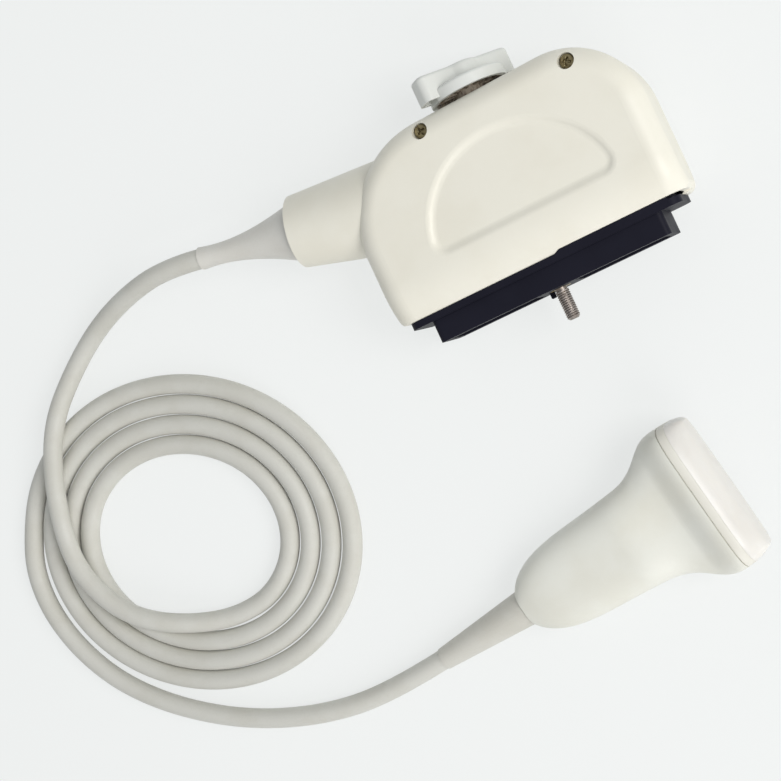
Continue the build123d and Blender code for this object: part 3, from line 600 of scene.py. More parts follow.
class Finish(Enum):
    """Every finish of the transducer, by the part of it that wears it."""

    HOUSING = Moulding(
        "housing_cream", srgb(237, 234, 221), srgb(231, 227, 212),
        roughness=0.4, grain=0.4 * MM, relief=0.010 * MM,
    )
    KNOB = HollowKnob("knob_white", srgb(228, 230, 226), srgb(218, 219, 213))
    PLUG = Moulding(
        "plug_dark", srgb(20, 20, 32), srgb(27, 27, 39),
        roughness=0.52, grain=0.3 * MM, specular=0.14,
    )
    HANDLE = Moulding(
        "handle_white", srgb(233, 233, 224), srgb(224, 222, 209),
        roughness=0.4, relief=0.008 * MM,
    )
    NOSE = Moulding(
        "nose_white", srgb(226, 224, 214), srgb(219, 216, 205),
        roughness=0.4, grain=0.3 * MM, relief=0.005 * MM,
    )
    WASHER = Moulding(
        "washer_acetal", srgb(226, 222, 208), srgb(214, 209, 192), roughness=0.38
    )
    CORES = Moulding("coil_cores", srgb(50, 47, 46), srgb(66, 60, 55), roughness=0.45)
    BOOT = Jacket(
        "boot_grey_white", srgb(219, 217, 210), srgb(211, 208, 199),
        roughness=0.46, relief=0.012 * MM,
    )
    PROBE_BOOT = Jacket(
        "probe_boot_grey", srgb(208, 206, 197), srgb(200, 197, 186), relief=0.012 * MM
    )
    CABLE = Jacket(
        "cable_jacket", srgb(209, 208, 200), srgb(200, 198, 188), relief=0.016 * MM
    )
    SEAL = Jacket("seal_grey", srgb(216, 214, 204), srgb(203, 200, 189), roughness=0.6)
    LENS = Silicone("lens_silicone", srgb(229, 226, 220), srgb(222, 218, 211))
    STEEL = Turned("turned_steel", srgb(170, 162, 156), srgb(140, 131, 124), roughness=0.38)
    PRESSED = Turned(
        "pressed_nickel", srgb(188, 188, 184), srgb(150, 148, 140),
        roughness=0.34, lines=(1.0, 1.0, 1.0),
    )
    BRASS = Turned(
        "turned_brass", srgb(176, 154, 96), srgb(108, 92, 58),
        roughness=0.34, lines=(1.0, 1.0, 18.0),
    )
    OLIVE = Turned(
        "olive_plated_screw", srgb(158, 146, 112), srgb(104, 92, 66),
        roughness=0.36, lines=(1.0, 1.0, 1.0),
    )
    GOLD = Turned(
        "dull_gold_contact", srgb(150, 142, 122), srgb(112, 104, 88), roughness=0.4
    )
    BOARD = Laminate("green_board", srgb(26, 88, 56), srgb(188, 160, 84))
    FILM = Laminate("film_circuit", srgb(150, 92, 38), srgb(206, 150, 80), pitch=0.8 * MM)
    CERAMIC = Filled(
        "array_ceramic", srgb(196, 184, 150), srgb(176, 160, 122), size=0.3 * MM
    )
    MATCHING = Filled(
        "matching_resin", srgb(118, 118, 122), srgb(98, 98, 104), size=0.2 * MM
    )
    BACKING = Filled(
        "backing_resin", srgb(52, 52, 54), srgb(74, 74, 76), size=0.3 * MM, roughness=0.7
    )
    WIRES = Filled(
        "bundled_wires", srgb(214, 194, 156), srgb(150, 122, 84),
        size=0.5 * MM, roughness=0.4, stretch=(0.1, 1.0, 1.0),
    )
    ALUMINIUM = Turned(
        "machined_frame", srgb(190, 192, 194), srgb(160, 162, 164),
        roughness=0.32, lines=(1.0, 1.0, 6.0),
    )


class Wardrobe:
    """Makes each finish once and puts it on pieces."""

    def __init__(self, nodes: dict[str, bpy.types.Object]) -> None:
        """Remember the model's own nodes by name."""
        self.nodes = nodes
        self.made: dict[Finish, bpy.types.Material] = {}

    def material(self, finish: Finish) -> bpy.types.Material:
        """Material of a finish, made when it is first asked for.

        Args:
            finish: The finish.

        Returns:
            Its material.
        """
        if finish not in self.made:
            self.made[finish] = finish.value.material()
        return self.made[finish]

    def wear(self, piece: bpy.types.Object, finish: Finish) -> None:
        """Give a piece the finish in all its slots."""
        piece.data.materials.clear()
        piece.data.materials.append(self.material(finish))

    def dress(self, finishes: dict[Finish, Sequence[str]]) -> None:
        """Give nodes their finishes.

        Args:
            finishes: The nodes' names, by what they wear.
        """
        for finish, names in finishes.items():
            for name in names:
                self.wear(self.nodes[name], finish)
                log.info("dressed %s in %s", name, finish.value.name)


# Surfaces


def linked(name: str, data: bpy.types.ID) -> bpy.types.Object:
    """New object of that name that holds the data, linked to the scene."""
    thing = bpy.data.objects.new(name, data)
    bpy.context.scene.collection.objects.link(thing)
    return thing


def surface(
    name: str,
    grid: np.ndarray,
    closed_rows: bool = False,
    closed_columns: bool = True,
    capped: bool = True,
    sharp: float = 40.0,
) -> bpy.types.Object:
    """Mesh object of a surface given as a grid of points.

    Each face joins the points (i, j), (i, j+1), (i+1, j+1) and (i+1, j). The first and last rows
    are closed by a fan to their own middle where `capped` is set.

    Args:
        name: Name of the piece.
        grid: Points, as rows by columns by three.
        closed_rows: Whether the last row joins the first.
        closed_columns: Whether the last column joins the first.
        capped: Whether the first and last rows are closed.
        sharp: Angle in degrees over which an edge stays sharp.

    Returns:
        The new object. Its faces point outwards where the rows advance along the right-hand axis
        of the columns' turn.
    """
    rows, columns = grid.shape[:2]
    number = np.arange(rows * columns).reshape(rows, columns)
    down = np.roll(number, -1, 0) if closed_rows else number[1:]
    top = number if closed_rows else number[:-1]
    if closed_columns:
        quads = np.stack([top, np.roll(top, -1, 1), np.roll(down, -1, 1), down], -1)
    else:
        quads = np.stack([top[:, :-1], top[:, 1:], down[:, 1:], down[:, :-1]], -1)
    points = grid.reshape(-1, 3)
    faces = quads.reshape(-1, 4).tolist()
    if capped and not closed_rows:
        middles = np.stack([grid[0].mean(0), grid[-1].mean(0)])
        first, last = len(points), len(points) + 1
        points = np.concatenate([points, middles])
        start = np.stack([np.roll(number[0], -1), number[0], np.full(columns, first)], -1)
        end = np.stack([number[-1], np.roll(number[-1], -1), np.full(columns, last)], -1)
        faces += start.tolist() + end.tolist()
    mesh = bpy.data.meshes.new(name)
    mesh.from_pydata(points.tolist(), [], faces)
    mesh.validate()
    mesh.update()
    mesh.shade_smooth()
    mesh.set_sharp_from_angle(angle=math.radians(sharp))
    return linked(name, mesh)


def smoothstep(values: np.ndarray, low: float, high: float) -> np.ndarray:
    """Smooth climb from 0 at `low` to 1 at `high`: 3t^2 - 2t^3 of the clipped share t."""
    share = np.clip((values - low) / (high - low), 0.0, 1.0)
    return share * share * (3.0 - 2.0 * share)


# Studio


def stand(thing: bpy.types.Object, axes: Sequence[Sequence[float]], place: Place) -> None:
    """Put a lamp or the camera in its place.

    Args:
        thing: The lamp or camera.
        axes: Directions of its own right, up and back.
        place: Where it stands.
    """
    turn = np.eye(4)
    turn[:3, :3] = np.transpose(axes)
    turn[:3, 3] = place
    thing.matrix_world = Matrix(turn.tolist())


@dataclass(frozen=True)
class Lamp:
    """Square area lamp; its power is in watts."""

    name: str
    place: Place
    size: float
    power: float
    colour: Colour

    def hang(self, aim: Place) -> None:
        """Make the lamp, turned towards a point.

        Args:
            aim: Point that it lights.
        """
        data = bpy.data.lights.new(self.name, "AREA")
        data.shape = "SQUARE"
        data.size = self.size
        data.energy = self.power
        data.color = self.colour
        away = np.array(self.place) - np.array(aim)
        away = away / np.linalg.norm(away)
        side = np.cross((0.0, 1.0, 0.0), away)
        side = side / np.linalg.norm(side)
        stand(linked(self.name, data), (side, np.cross(away, side), away), self.place)


@dataclass
class Studio:
    """Plain pale table, soft light and the camera at the photograph's angle.

    The key lamp hangs to the right, the front lamp on the plug's side and the fill to the left.
    """

    eye: Place = (0.1068, -0.068314, 0.53818)
    right: Place = (0.8539, -0.4168, -0.31168)
    up: Place = (0.40441, 0.90833, -0.10672)
    back: Place = (0.32759, -0.03492, 0.94418)
    lens: float = 69.14
    sensor: float = 36.0
    clip_start: float = 0.01
    table: Colour = srgb(242, 244, 243)
    table_size: float = 6.0
    table_level: float = -0.2 * MM
    seen_glow: float = 0.78
    mirrored_glow: float = 0.8
    air: Colour = (0.94, 0.97, 1.0)
    air_strength: float = 0.42
    aim: Place = (-0.09, -0.06, 0.01)
    lamps: tuple[Lamp, ...] = (
        Lamp("key", (0.93, -0.27, 1.08), size=0.7, power=11.5, colour=(1.0, 0.99, 0.97)),
        Lamp("front", (0.2, -1.05, 0.75), size=0.8, power=4.8, colour=(1.0, 0.98, 0.985)),
        Lamp("fill", (-0.9, 0.3, 0.8), size=1.0, power=0.6, colour=(0.96, 0.98, 1.0)),
    )

    def build(self) -> None:
        """Make the table, the sky, the lamps and the camera."""
        self._table()
        self._sky()
        for lamp in self.lamps:
            lamp.hang(self.aim)
        self._camera()

    def _table(self) -> None:
        """Flat table under the object, in its own plain colour but for the object's shadow."""
        half = self.table_size / 2
        across = np.linspace(-half, half, 3)
        x, y = np.meshgrid(across, across)
        grid = np.stack([x, y, np.full_like(x, self.table_level)], -1)
        floor = surface("table", grid, closed_columns=False, capped=False)
        recipe = Recipe("table_top")
        colour = (*self.table, 1.0)
        diffuse = recipe.node("ShaderNodeBsdfDiffuse", None, {"Color": colour})
        glow = recipe.node("ShaderNodeEmission", None, {"Color": colour, "Strength": 1.0})
        path = recipe.node("ShaderNodeLightPath")
        seen = Signal(recipe, path.outputs["Is Camera Ray"])
        mirrored = Signal(recipe, path.outputs["Is Glossy Ray"])
        through = Signal(recipe, path.outputs["Is Transmission Ray"])
        share = seen * self.seen_glow + mirrored * self.mirrored_glow
        share = share + through * self.mirrored_glow
        mix = recipe.node("ShaderNodeMixShader", None, {0: share})
        recipe.tree.links.new(diffuse.outputs[0], mix.inputs[1])
        recipe.tree.links.new(glow.outputs[0], mix.inputs[2])
        recipe.tree.links.new(mix.outputs[0], recipe.output.inputs["Surface"])
        floor.data.materials.append(recipe.material)

    def _sky(self) -> None:
        """Even pale light from all round."""
        world = bpy.data.worlds.new("studio_air")
        world.use_nodes = True
        background = world.node_tree.nodes["Background"]
        background.inputs["Color"].default_value = (*self.air, 1.0)
        background.inputs["Strength"].default_value = self.air_strength
        bpy.context.scene.world = world

    def _camera(self) -> None:
        """Camera at the photograph's viewing angle."""
        data = bpy.data.cameras.new("camera")
        data.lens = self.lens
        data.sensor_width = self.sensor
        data.clip_start = self.clip_start
        camera = linked("camera", data)
        stand(camera, (self.right, self.up, self.back), self.eye)
        bpy.context.scene.camera = camera


# Cable


@dataclass
class Cable:
    """The whole free cable: lead from the connector, coil, and lead to the head.

    Its diameter and length are in metres; the coil's sizes and the leads' points are in
    millimetres until build() turns the whole route into metres.
    """

    diameter: float = 7.8 * MM
    length: float = 1.69
    centre: tuple[float, float] = (-180.4, -68.0)
    turned: float = -24.0
    long_radius: float = 40.0
    short_radius: float = 34.0
    long_pitch: float = 8.7
    short_pitch: float = 8.1
    start: float = 0.12
    end: float = 3.75
    points_a_turn: int = 24
    roundness: int = 6
    fineness: int = 8
    connector_lead: list[Place] = field(
        default_factory=lambda: [
            (-120.077, 26.674, 19.0),
            (-135.8, 29.9, 19.0),
            (-158.5, 28.6, 13.4),
            (-180.0, 23.4, 6.9),
            (-198.5, 12.6, 5.6),
            (-211.5, -0.8, 10.2),
            (-219.8, -17.0, 12.9),
            (-227.2, -38.5, 12.6),
            (-229.6, -60.0, 12.6),
            (-221.0, -80.0, 12.4),
            (-208.4, -91.8, 11.2),
            (-193.4, -99.4, 7.8),
            (-179.2, -103.3, 4.6),
        ]
    )
    probe_lead: list[Place] = field(
        default_factory=lambda: [
            (-253.5, -53.0, 3.9),
            (-254.5, -71.0, 3.9),
            (-249.0, -91.0, 3.9),
            (-236.8, -111.0, 3.9),
            (-216.5, -129.0, 3.9),
            (-190.0, -143.8, 3.9),
            (-160.0, -152.6, 3.9),
            (-130.3, -154.2, 3.9),
            (-102.787, -149.316, 5.875),
        ]
    )

    def coil(self) -> np.ndarray:
        """Points of the coil, in millimetres.

        It is an oval whose two radii grow evenly with the turns, laid flat and turned.

        Returns:
            Points as rows of three.
        """
        count = round((self.end - self.start) * self.points_a_turn) + 1
        turns = np.linspace(self.start, self.end, count)
        angle = 2 * np.pi * turns - np.pi / 2
        along = (self.long_radius + self.long_pitch * turns) * np.cos(angle)
        across = (self.short_radius + self.short_pitch * turns) * np.sin(angle)
        tilt = math.radians(self.turned)
        x = self.centre[0] + along * math.cos(tilt) - across * math.sin(tilt)
        y = self.centre[1] + along * math.sin(tilt) + across * math.cos(tilt)
        return np.stack([x, y, np.full_like(x, self.diameter / MM / 2)], -1)

    def build(self, wardrobe: Wardrobe) -> None:
        """Args:
            wardrobe: Gives the jacket's material.
        """
        route = np.concatenate([self.connector_lead, self.coil(), self.probe_lead]) * MM
        data = bpy.data.curves.new("cable", "CURVE")
        data.dimensions = "3D"
        data.bevel_depth = self.diameter / 2
        data.bevel_resolution = self.roundness
        data.resolution_u = self.fineness
        data.use_fill_caps = True
        spline = data.splines.new("NURBS")
        spline.points.add(len(route) - 1)
        weighted = np.concatenate([route, np.ones((len(route), 1))], 1)
        spline.points.foreach_set("co", weighted.ravel())
        spline.order_u = 3
        spline.use_endpoint_u = True
        spline.use_smooth = True
        cable = linked("cable", data)
        data.materials.append(wardrobe.material(Finish.CABLE))
        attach(cable, "body")
        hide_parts("connector_lead", "cable_coil", "probe_lead")
        log.info("laid the cable through %d points", len(route))


# Connector


@dataclass
class CoverScrews:
    """Cross-recessed pan heads in the wells of the front cover.

    The shank's blunt point has a radius and a height as shares of the shank's radius. The head's
    height is shared out among its straight side, its rounded rim and its crown. An arm of the
    cross runs out from arm_fade to the whole of its reach, and is cut only above cut_share of
    the head's height.
    """

    places: tuple[Span, ...] = ((-0.018, 0.0269), (0.0374, 0.0246))
    turns: tuple[float, ...] = (0.35, 1.0)
    seat: float = 33.2 * MM
    head_radius: float = 2.55 * MM
    head_height: float = 1.9 * MM
    side_share: float = 0.55
    rim_share: float = 0.35
    crown_share: float = 0.1
    rim: float = 0.55 * MM
    middle: float = 0.02 * MM
    shank_radius: float = 1.5 * MM
    shank_length: float = 21.9 * MM
    point: Span = (0.6, 0.5)
    recess_depth: float = 1.1 * MM
    recess_reach: float = 1.65 * MM
    recess_width: float = 0.7 * MM
    recess_soft: float = 0.12 * MM
    arm_fade: float = 0.55
    cut_share: float = 0.6
    sides: int = 72
    rim_rows: int = 8
    face_rows: int = 30
    sharp: float = 50.0

    def _profile(self) -> np.ndarray:
        """Radius and height of each row, from the shank's end up over the head to its middle.

        The rim is a quarter ellipse, and the crown over it rises by 1 - (r / r at the rim)^2.

        Returns:
            Points as rows by two.
        """
        low = self.seat - self.shank_length
        side = [
            (self.shank_radius * self.point[0], low),
            (self.shank_radius, low + self.shank_radius * self.point[1]),
            (self.shank_radius, self.seat),
            (self.head_radius, self.seat),
        ]
        quarter = np.linspace(0.0, 1.0, self.rim_rows) * np.pi / 2
        rim_r = self.head_radius - self.rim * (1 - np.cos(quarter))
        rim_z = self.seat + self.head_height * (self.side_share + self.rim_share * np.sin(quarter))
        face_r = np.linspace(rim_r[-1], self.middle, self.face_rows)[1:]
        crown = self.crown_share * (1 - (face_r / rim_r[-1]) ** 2)
        face_z = self.seat + self.head_height * (self.side_share + self.rim_share + crown)
        return np.concatenate([side, np.stack([rim_r, rim_z], -1), np.stack([face_r, face_z], -1)])

    def _head(self, place: Span, turn: float) -> np.ndarray:
        """Grid of one screw: its profile turned round its axis, less the cross in its head.

        The cross is the recess's depth times the larger of two arms, each a smooth step in |x|
        times one in |y|.

        Args:
            place: Middle of the head, seen from above.
            turn: Angle of the cross.

        Returns:
            Points as rows by columns by three.
        """
        radius, height = self._profile().T[:, :, None]
        angle = np.linspace(0, 2 * np.pi, self.sides, endpoint=False)
        x = radius * np.cos(angle)
        y = radius * np.sin(angle)
        along = x * math.cos(turn) + y * math.sin(turn)
        across = y * math.cos(turn) - x * math.sin(turn)
        half, soft, reach = self.recess_width / 2, self.recess_soft, self.recess_reach

        def arm(one: np.ndarray, other: np.ndarray) -> np.ndarray:
            """One arm of the cross."""
            narrow = 1 - smoothstep(np.abs(other), half - soft, half + soft)
            return narrow * (1 - smoothstep(np.abs(one), reach * self.arm_fade, reach))

        cross = np.maximum(arm(along, across), arm(across, along))
        cross = np.where(height > self.seat + self.head_height * self.cut_share, cross, 0.0)
        return np.stack([x + place[0], y + place[1], height - self.recess_depth * cross], -1)

    def build(self, wardrobe: Wardrobe) -> None:
        """Make both screws in place of the plain ones.

        Args:
            wardrobe: Gives the screws' material.
        """
        for number, (place, turn) in enumerate(zip(self.places, self.turns), 1):
            piece = surface(f"cover_screw_{number}", self._head(place, turn), sharp=self.sharp)
            wardrobe.wear(piece, Finish.OLIVE)
            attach(piece, "body")
            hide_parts("cover_screws")
            log.info("made cover screw %d", number)


@dataclass
class LockScrew:
    """The long locking screw, with a fine thread on its free end.

    Each groove is its start, its width and its radius. The tooth is where a thread's flank climbs,
    as shares of half a pitch.
    """

    axis_height: float = 19.0 * MM
    tip: float = -54.0 * MM
    end: float = 42.9 * MM
    radius: float = 2.5 * MM
    pitch: float = 0.8 * MM
    thread_depth: float = 0.26 * MM
    chamfer: float = 0.9 * MM
    relief: Place = (-43.2 * MM, 1.0 * MM, 2.1 * MM)
    clip_groove: Place = (-21.55 * MM, 0.85 * MM, 1.9 * MM)
    tooth: Span = (0.1, 0.9)
    step: float = 0.001 * MM
    rows_a_pitch: int = 8
    sides: int = 56
    sharp: float = 35.0

    def _radius(self, along: np.ndarray, angle: np.ndarray) -> np.ndarray:
        """Radius of the screw at each distance from its tip and each angle round it.

        It is the rod's radius less the thread: the depth times a softened triangle wave of
        (distance / pitch - angle / full turn), faded in at the tip and out at the relief. A cone
        limits it at the tip, and each groove is a plain step.

        Args:
            along: Distances from the tip.
            angle: Angles round the axis.

        Returns:
            Radii, as distances by angles.
        """
        thread_end = self.relief[0] - self.tip
        wave = (along[:, None] / self.pitch - angle / (2 * np.pi)) % 1.0
        tooth = smoothstep(np.abs(2 * wave - 1), *self.tooth)
        fade = smoothstep(along, 0.0, self.pitch)
        fade = fade * (1 - smoothstep(along, thread_end - self.pitch, thread_end))
        radius = self.radius - self.thread_depth * tooth * fade[:, None]
        radius = np.minimum(radius, self.radius - self.chamfer + along[:, None])
        for start, width, groove_radius in (self.relief, self.clip_groove):
            near = start - self.tip
            inside = (along > near + self.step / 2) & (along < near + width - self.step / 2)
            radius = np.where(inside[:, None], groove_radius, radius)
        return radius

    def build(self, wardrobe: Wardrobe) -> None:
        """Make the screw in place of the plain rod.

        Args:
            wardrobe: Gives the steel's material.
        """
        rows = [np.arange(0.0, self.relief[0] - self.tip, self.pitch / self.rows_a_pitch)]
        for start, width, _ in (self.relief, self.clip_groove):
            near = start - self.tip
            rows.append(near + np.array([0.0, self.step, width - self.step, width]))
        rows.append(np.array([self.end - self.tip - self.chamfer / 2, self.end - self.tip]))
        along = np.concatenate(rows)
        angle = np.linspace(0, 2 * np.pi, self.sides, endpoint=False)
        radius = self._radius(along, angle)
        x = radius * np.cos(angle)
        z = self.axis_height - radius * np.sin(angle)
        y = np.broadcast_to((self.tip + along)[:, None], x.shape)
        grid = np.stack([x, y, z], -1)
        piece = surface("lock_screw_threaded", grid, sharp=self.sharp)
        wardrobe.wear(piece, Finish.STEEL)
        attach(piece, "lock")
        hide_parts("lock_screw")
        log.info("cut the thread of the lock screw")


CONNECTOR_FINISHES: dict[Finish, tuple[str, ...]] = {
    Finish.HOUSING: ("front_cover", "back_cover"),
    Finish.KNOB: ("lock_knob",),
    Finish.PLUG: ("plug_base", "contact_inserts", "key_pin"),
    Finish.GOLD: ("contacts",),
    Finish.BRASS: ("base_bush", "knob_bush"),
    Finish.OLIVE: ("cover_screws",),
    Finish.STEEL: ("lock_screw", "retaining_clip", "cross_pin"),
    Finish.WASHER: ("thrust_washer",),
    Finish.BOARD: ("front_board", "back_board"),
    Finish.CORES: ("tuning_coils",),
    Finish.PRESSED: ("cable_clamp", "clamp_screws", "shield_ferrule"),
    Finish.WIRES: ("wire_bundle",),
    Finish.BOOT: ("connector_boot",),
    Finish.CABLE: ("connector_tail",),
}


@dataclass
class Connector:
    """The lock-screw connector: covers, plug, lock screw, knob, boards and cable entry."""

    screws: CoverScrews = field(default_factory=CoverScrews)
    lock: LockScrew = field(default_factory=LockScrew)

    def build(self, wardrobe: Wardrobe) -> None:
        """Make the connector's own fine pieces."""
        self.screws.build(wardrobe)
        self.lock.build(wardrobe)

    def dress(self, wardrobe: Wardrobe) -> None:
        """Give the connector's nodes their finishes."""
        wardrobe.dress(CONNECTOR_FINISHES)


# Head


@dataclass(frozen=True)
class HeadAxes:
    """How the head lies.

    Its axis starts at the rear end, is turned about the vertical and pitched up, in degrees.
    """

    rear: Place = (-63.0 * MM, -142.3 * MM, 8.7 * MM)
    turned: float = 10.0
    pitched: float = 4.0

    def vectors(self) -> np.ndarray:
        """Directions of the head.

        Returns:
            Unit vectors along the axis, to its side and up, as the rows of a matrix.
        """
        turn, pitch = math.radians(self.turned), math.radians(self.pitched)
        level = math.cos(pitch)
        ahead = (math.cos(turn) * level, math.sin(turn) * level, math.sin(pitch))
        side = (-math.sin(turn), math.cos(turn), 0.0)
        return np.array([ahead, side, np.cross(ahead, side)])


@dataclass
class Waist:
    """Dip across both broad faces of the handle, behind the nose, where the fingers rest."""

    axes: HeadAxes = field(default_factory=HeadAxes)
    start: float = 46.0 * MM
    deepest: float = 68.0 * MM
    end: float = 78.8 * MM
    depth: float = 3.8 * MM
    flank: Span = (0.0, 11.5 * MM)
    slice_step: float = 0.8 * MM
    sharp: float = 30.0
    old_layers: tuple[str, ...] = ("custom_normal", "sharp_edge", "sharp_face")

    def _drop(self, local: np.ndarray) -> np.ndarray:
        """How far points of the handle sink towards its middle plane.

        It is the depth times a smooth climb along the axis from the start to the deepest line,
        times a smooth fall from there to the end, times a smooth climb over the flank's heights,
        with the sign of the height over the middle plane.

        Args:
            local: Points as distances along the head's three directions.

        Returns:
            The drop of each point.
        """
        along, height = local[:, 0], local[:, 2]
        dip = smoothstep(along, self.start, self.deepest)
        dip = dip * (1 - smoothstep(along, self.deepest, self.end))
        return self.depth * dip * smoothstep(np.abs(height), *self.flank) * np.sign(height)

    def _sunk(self, node: bpy.types.Object) -> bpy.types.Mesh:
        """Merged copy of a shell's mesh, sliced across the dip and sunk there.

        Args:
            node: The plain shell.

        Returns:
            The new mesh.
        """
        rear, vectors = np.array(self.axes.rear), self.axes.vectors()
        work = bmesh.new()
        work.from_mesh(node.data)
        bmesh.ops.remove_doubles(work, verts=work.verts, dist=SAME_POINT)
        for along in np.arange(self.start, self.end, self.slice_step):
            bmesh.ops.bisect_plane(
                work,
                geom=work.verts[:] + work.edges[:] + work.faces[:],
                dist=SAME_POINT,
                plane_co=rear + along * vectors[0],
                plane_no=vectors[0],
            )
        mesh = bpy.data.meshes.new(node.name + "_waisted")
        work.to_mesh(mesh)
        work.free()
        for layer in self.old_layers:
            if layer in mesh.attributes:
                mesh.attributes.remove(mesh.attributes[layer])
        points = np.empty(len(mesh.vertices) * 3)
        mesh.vertices.foreach_get("co", points)
        local = (points.reshape(-1, 3) - rear) @ vectors.T
        local[:, 2] -= self._drop(local)
        mesh.vertices.foreach_set("co", (rear + local @ vectors).ravel())
        mesh.update()
        mesh.shade_smooth()
        mesh.set_sharp_from_angle(angle=math.radians(self.sharp))
        return mesh

    def build(self, wardrobe: Wardrobe) -> None:
        """Make both shells with the dip in place of the plain ones.

        Args:
            wardrobe: Gives the shells and their material.
        """
        for name in ("handle_upper", "handle_lower"):
            mesh = self._sunk(wardrobe.nodes[name])
            piece = linked(name + "_waisted", mesh)
            wardrobe.wear(piece, Finish.HANDLE)
            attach(piece, "body")
            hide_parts(name)
            log.info("sank the waist of %s, %d points", name, len(mesh.vertices))


def oval_rows(axes: HeadAxes, rows: np.ndarray, squareness: float, columns: int) -> np.ndarray:
    """Grid of points whose rows are ovals across the head.

    A row's outline is the superellipse |x / a|^n + |y / b|^n = 1 at its distance along the axis.

    Args:
        axes: How the head lies.
        rows: For each row its distance along the axis and its half sizes a and b.
        squareness: Power n of the outline.
        columns: Points round one row.

    Returns:
        Points as rows by columns by three.
    """
    turns = np.linspace(0, 2 * np.pi, columns, endpoint=False)
    right, up = np.cos(turns), np.sin(turns)
    reach = (np.abs(right) ** squareness + np.abs(up) ** squareness) ** (-1 / squareness)
    x = rows[:, 1:2] * reach * right
    y = rows[:, 2:3] * reach * up
    ahead = np.broadcast_to(rows[:, :1], x.shape)
    return axes.rear + np.stack([ahead, x, y], -1) @ axes.vectors()


@dataclass
class NoseRing:
    """Short ring between the handle and the lens, with a softened front edge."""

    axes: HeadAxes = field(default_factory=HeadAxes)
    half_sizes: Span = (28.3 * MM, 14.0 * MM)
    squareness: float = 4.8
    span: Span = (79.4 * MM, 82.4 * MM)
    taper: float = 0.2 * MM
    softened: float = 0.2 * MM
    wall: float = 2.4 * MM
    columns: int = 176
    sharp: float = 50.0

    def build(self, wardrobe: Wardrobe) -> None:
        """Make the ring in place of the longer plain one.

        Args:
            wardrobe: Gives the moulding's material.
        """
        back, front = self.span
        levels = np.array([back, front - self.softened, front, front, back])
        insets = np.array([0.0, self.taper, self.taper + self.softened, self.wall, self.wall])
        wide, high = (half - insets for half in self.half_sizes)
        rows = np.stack([levels, wide, high], -1)
        grid = oval_rows(self.axes, rows, self.squareness, self.columns)
        piece = surface("nose_ring_short", grid, closed_rows=True, sharp=self.sharp)
        wardrobe.wear(piece, Finish.NOSE)
        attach(piece, "body")
        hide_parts("nose_ring")
        log.info("made the nose ring")


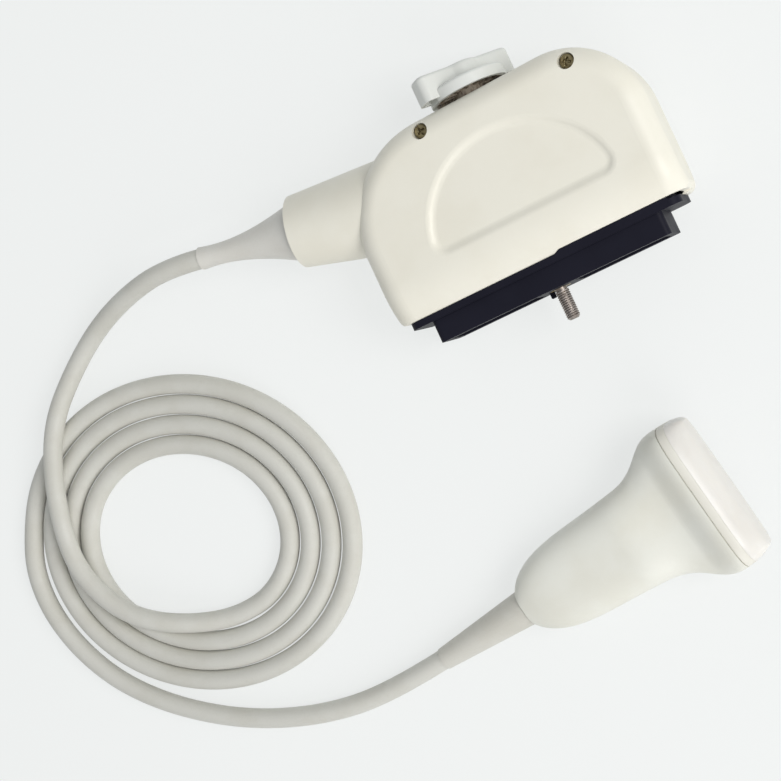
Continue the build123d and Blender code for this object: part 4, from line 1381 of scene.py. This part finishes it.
@dataclass
class Lens:
    """Silicone face of the head: it leaves the nose ring in a wide roll to a nearly flat front.

    The seat is the distance along the axis of the lens's back and its half sizes. The roll's
    tilts are in degrees.
    """

    axes: HeadAxes = field(default_factory=HeadAxes)
    seat: Place = (82.85 * MM, 26.5 * MM, 12.2 * MM)
    half_sizes: Span = (28.0 * MM, 13.7 * MM)
    squareness: float = 4.8
    start: float = 82.43 * MM
    radius: float = 11.7 * MM
    tilts: Span = (30.0, 85.0)
    side_share: float = 0.28
    crown: float = 0.2 * MM
    columns: int = 176
    roll_rows: int = 24
    face_rows: int = 14
    middle_share: float = 0.004
    sharp: float = 50.0

    def _rows(self) -> np.ndarray:
        """Distance along the axis and half sizes of each row, from the flat back to the middle.

        While the roll's normal tilts forward by t, the lens rises by radius * (sin t - sin of the
        first tilt) and its half height shrinks by radius * (cos of the first tilt - cos t), its
        half width by the side share of that. Over the face the rows shrink by a share s from 1 to
        nearly 0 and rise by crown * (1 - s^2).

        Returns:
            Rows of three.
        """
        tilt = np.radians(np.linspace(*self.tilts, self.roll_rows))
        level = self.start + self.radius * (np.sin(tilt) - np.sin(tilt[0]))
        inset = self.radius * (np.cos(tilt[0]) - np.cos(tilt))
        wide = self.half_sizes[0] - self.side_share * inset
        high = self.half_sizes[1] - inset
        share = np.linspace(1.0, self.middle_share, self.face_rows)[1:]
        risen = level[-1] + self.crown * (1 - share**2)
        rolled = np.stack([level, wide, high], -1)
        face = np.stack([risen, share * wide[-1], share * high[-1]], -1)
        seated = np.array([self.seat, (self.start, *self.seat[1:])])
        return np.concatenate([seated, rolled, face])

    def build(self, wardrobe: Wardrobe) -> None:
        """Make the lens in place of the plain one.

        Args:
            wardrobe: Gives the silicone's material.
        """
        grid = oval_rows(self.axes, self._rows(), self.squareness, self.columns)
        piece = surface("lens_dome", grid, sharp=self.sharp)
        wardrobe.wear(piece, Finish.LENS)
        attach(piece, "body")
        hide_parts("lens")
        log.info("made the lens")


HEAD_FINISHES: dict[Finish, tuple[str, ...]] = {
    Finish.HANDLE: ("handle_upper", "handle_lower"),
    Finish.SEAL: ("nose_gasket",),
    Finish.NOSE: ("nose_ring",),
    Finish.LENS: ("lens",),
    Finish.MATCHING: ("matching_layer",),
    Finish.CERAMIC: ("piezo_array",),
    Finish.BACKING: ("backing_block",),
    Finish.ALUMINIUM: ("array_frame",),
    Finish.FILM: ("flex_circuits",),
    Finish.BOARD: ("head_board",),
    Finish.PRESSED: ("head_clamp",),
    Finish.WIRES: ("head_wires",),
    Finish.PROBE_BOOT: ("probe_boot",),
    Finish.CABLE: ("probe_tail",),
}


@dataclass
class Head:
    """The linear head: handle, nose ring, lens and what lies inside them."""

    waist: Waist = field(default_factory=Waist)
    ring: NoseRing = field(default_factory=NoseRing)
    lens: Lens = field(default_factory=Lens)

    def build(self, wardrobe: Wardrobe) -> None:
        """Make the head's own fine pieces."""
        self.waist.build(wardrobe)
        self.ring.build(wardrobe)
        self.lens.build(wardrobe)

    def dress(self, wardrobe: Wardrobe) -> None:
        """Give the head's nodes their finishes."""
        wardrobe.dress(HEAD_FINISHES)


def main() -> None:
    """Load the model, build the scene round it and dress every piece."""
    logging.basicConfig(level=logging.INFO, format="%(message)s")
    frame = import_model()
    bpy.context.scene.view_settings.view_transform = "Standard"
    Studio().build()
    wardrobe = Wardrobe(frame["nodes"])
    Cable().build(wardrobe)
    connector = Connector()
    connector.build(wardrobe)
    connector.dress(wardrobe)
    head = Head()
    head.build(wardrobe)
    head.dress(wardrobe)


if __name__ == "__main__":
    main()
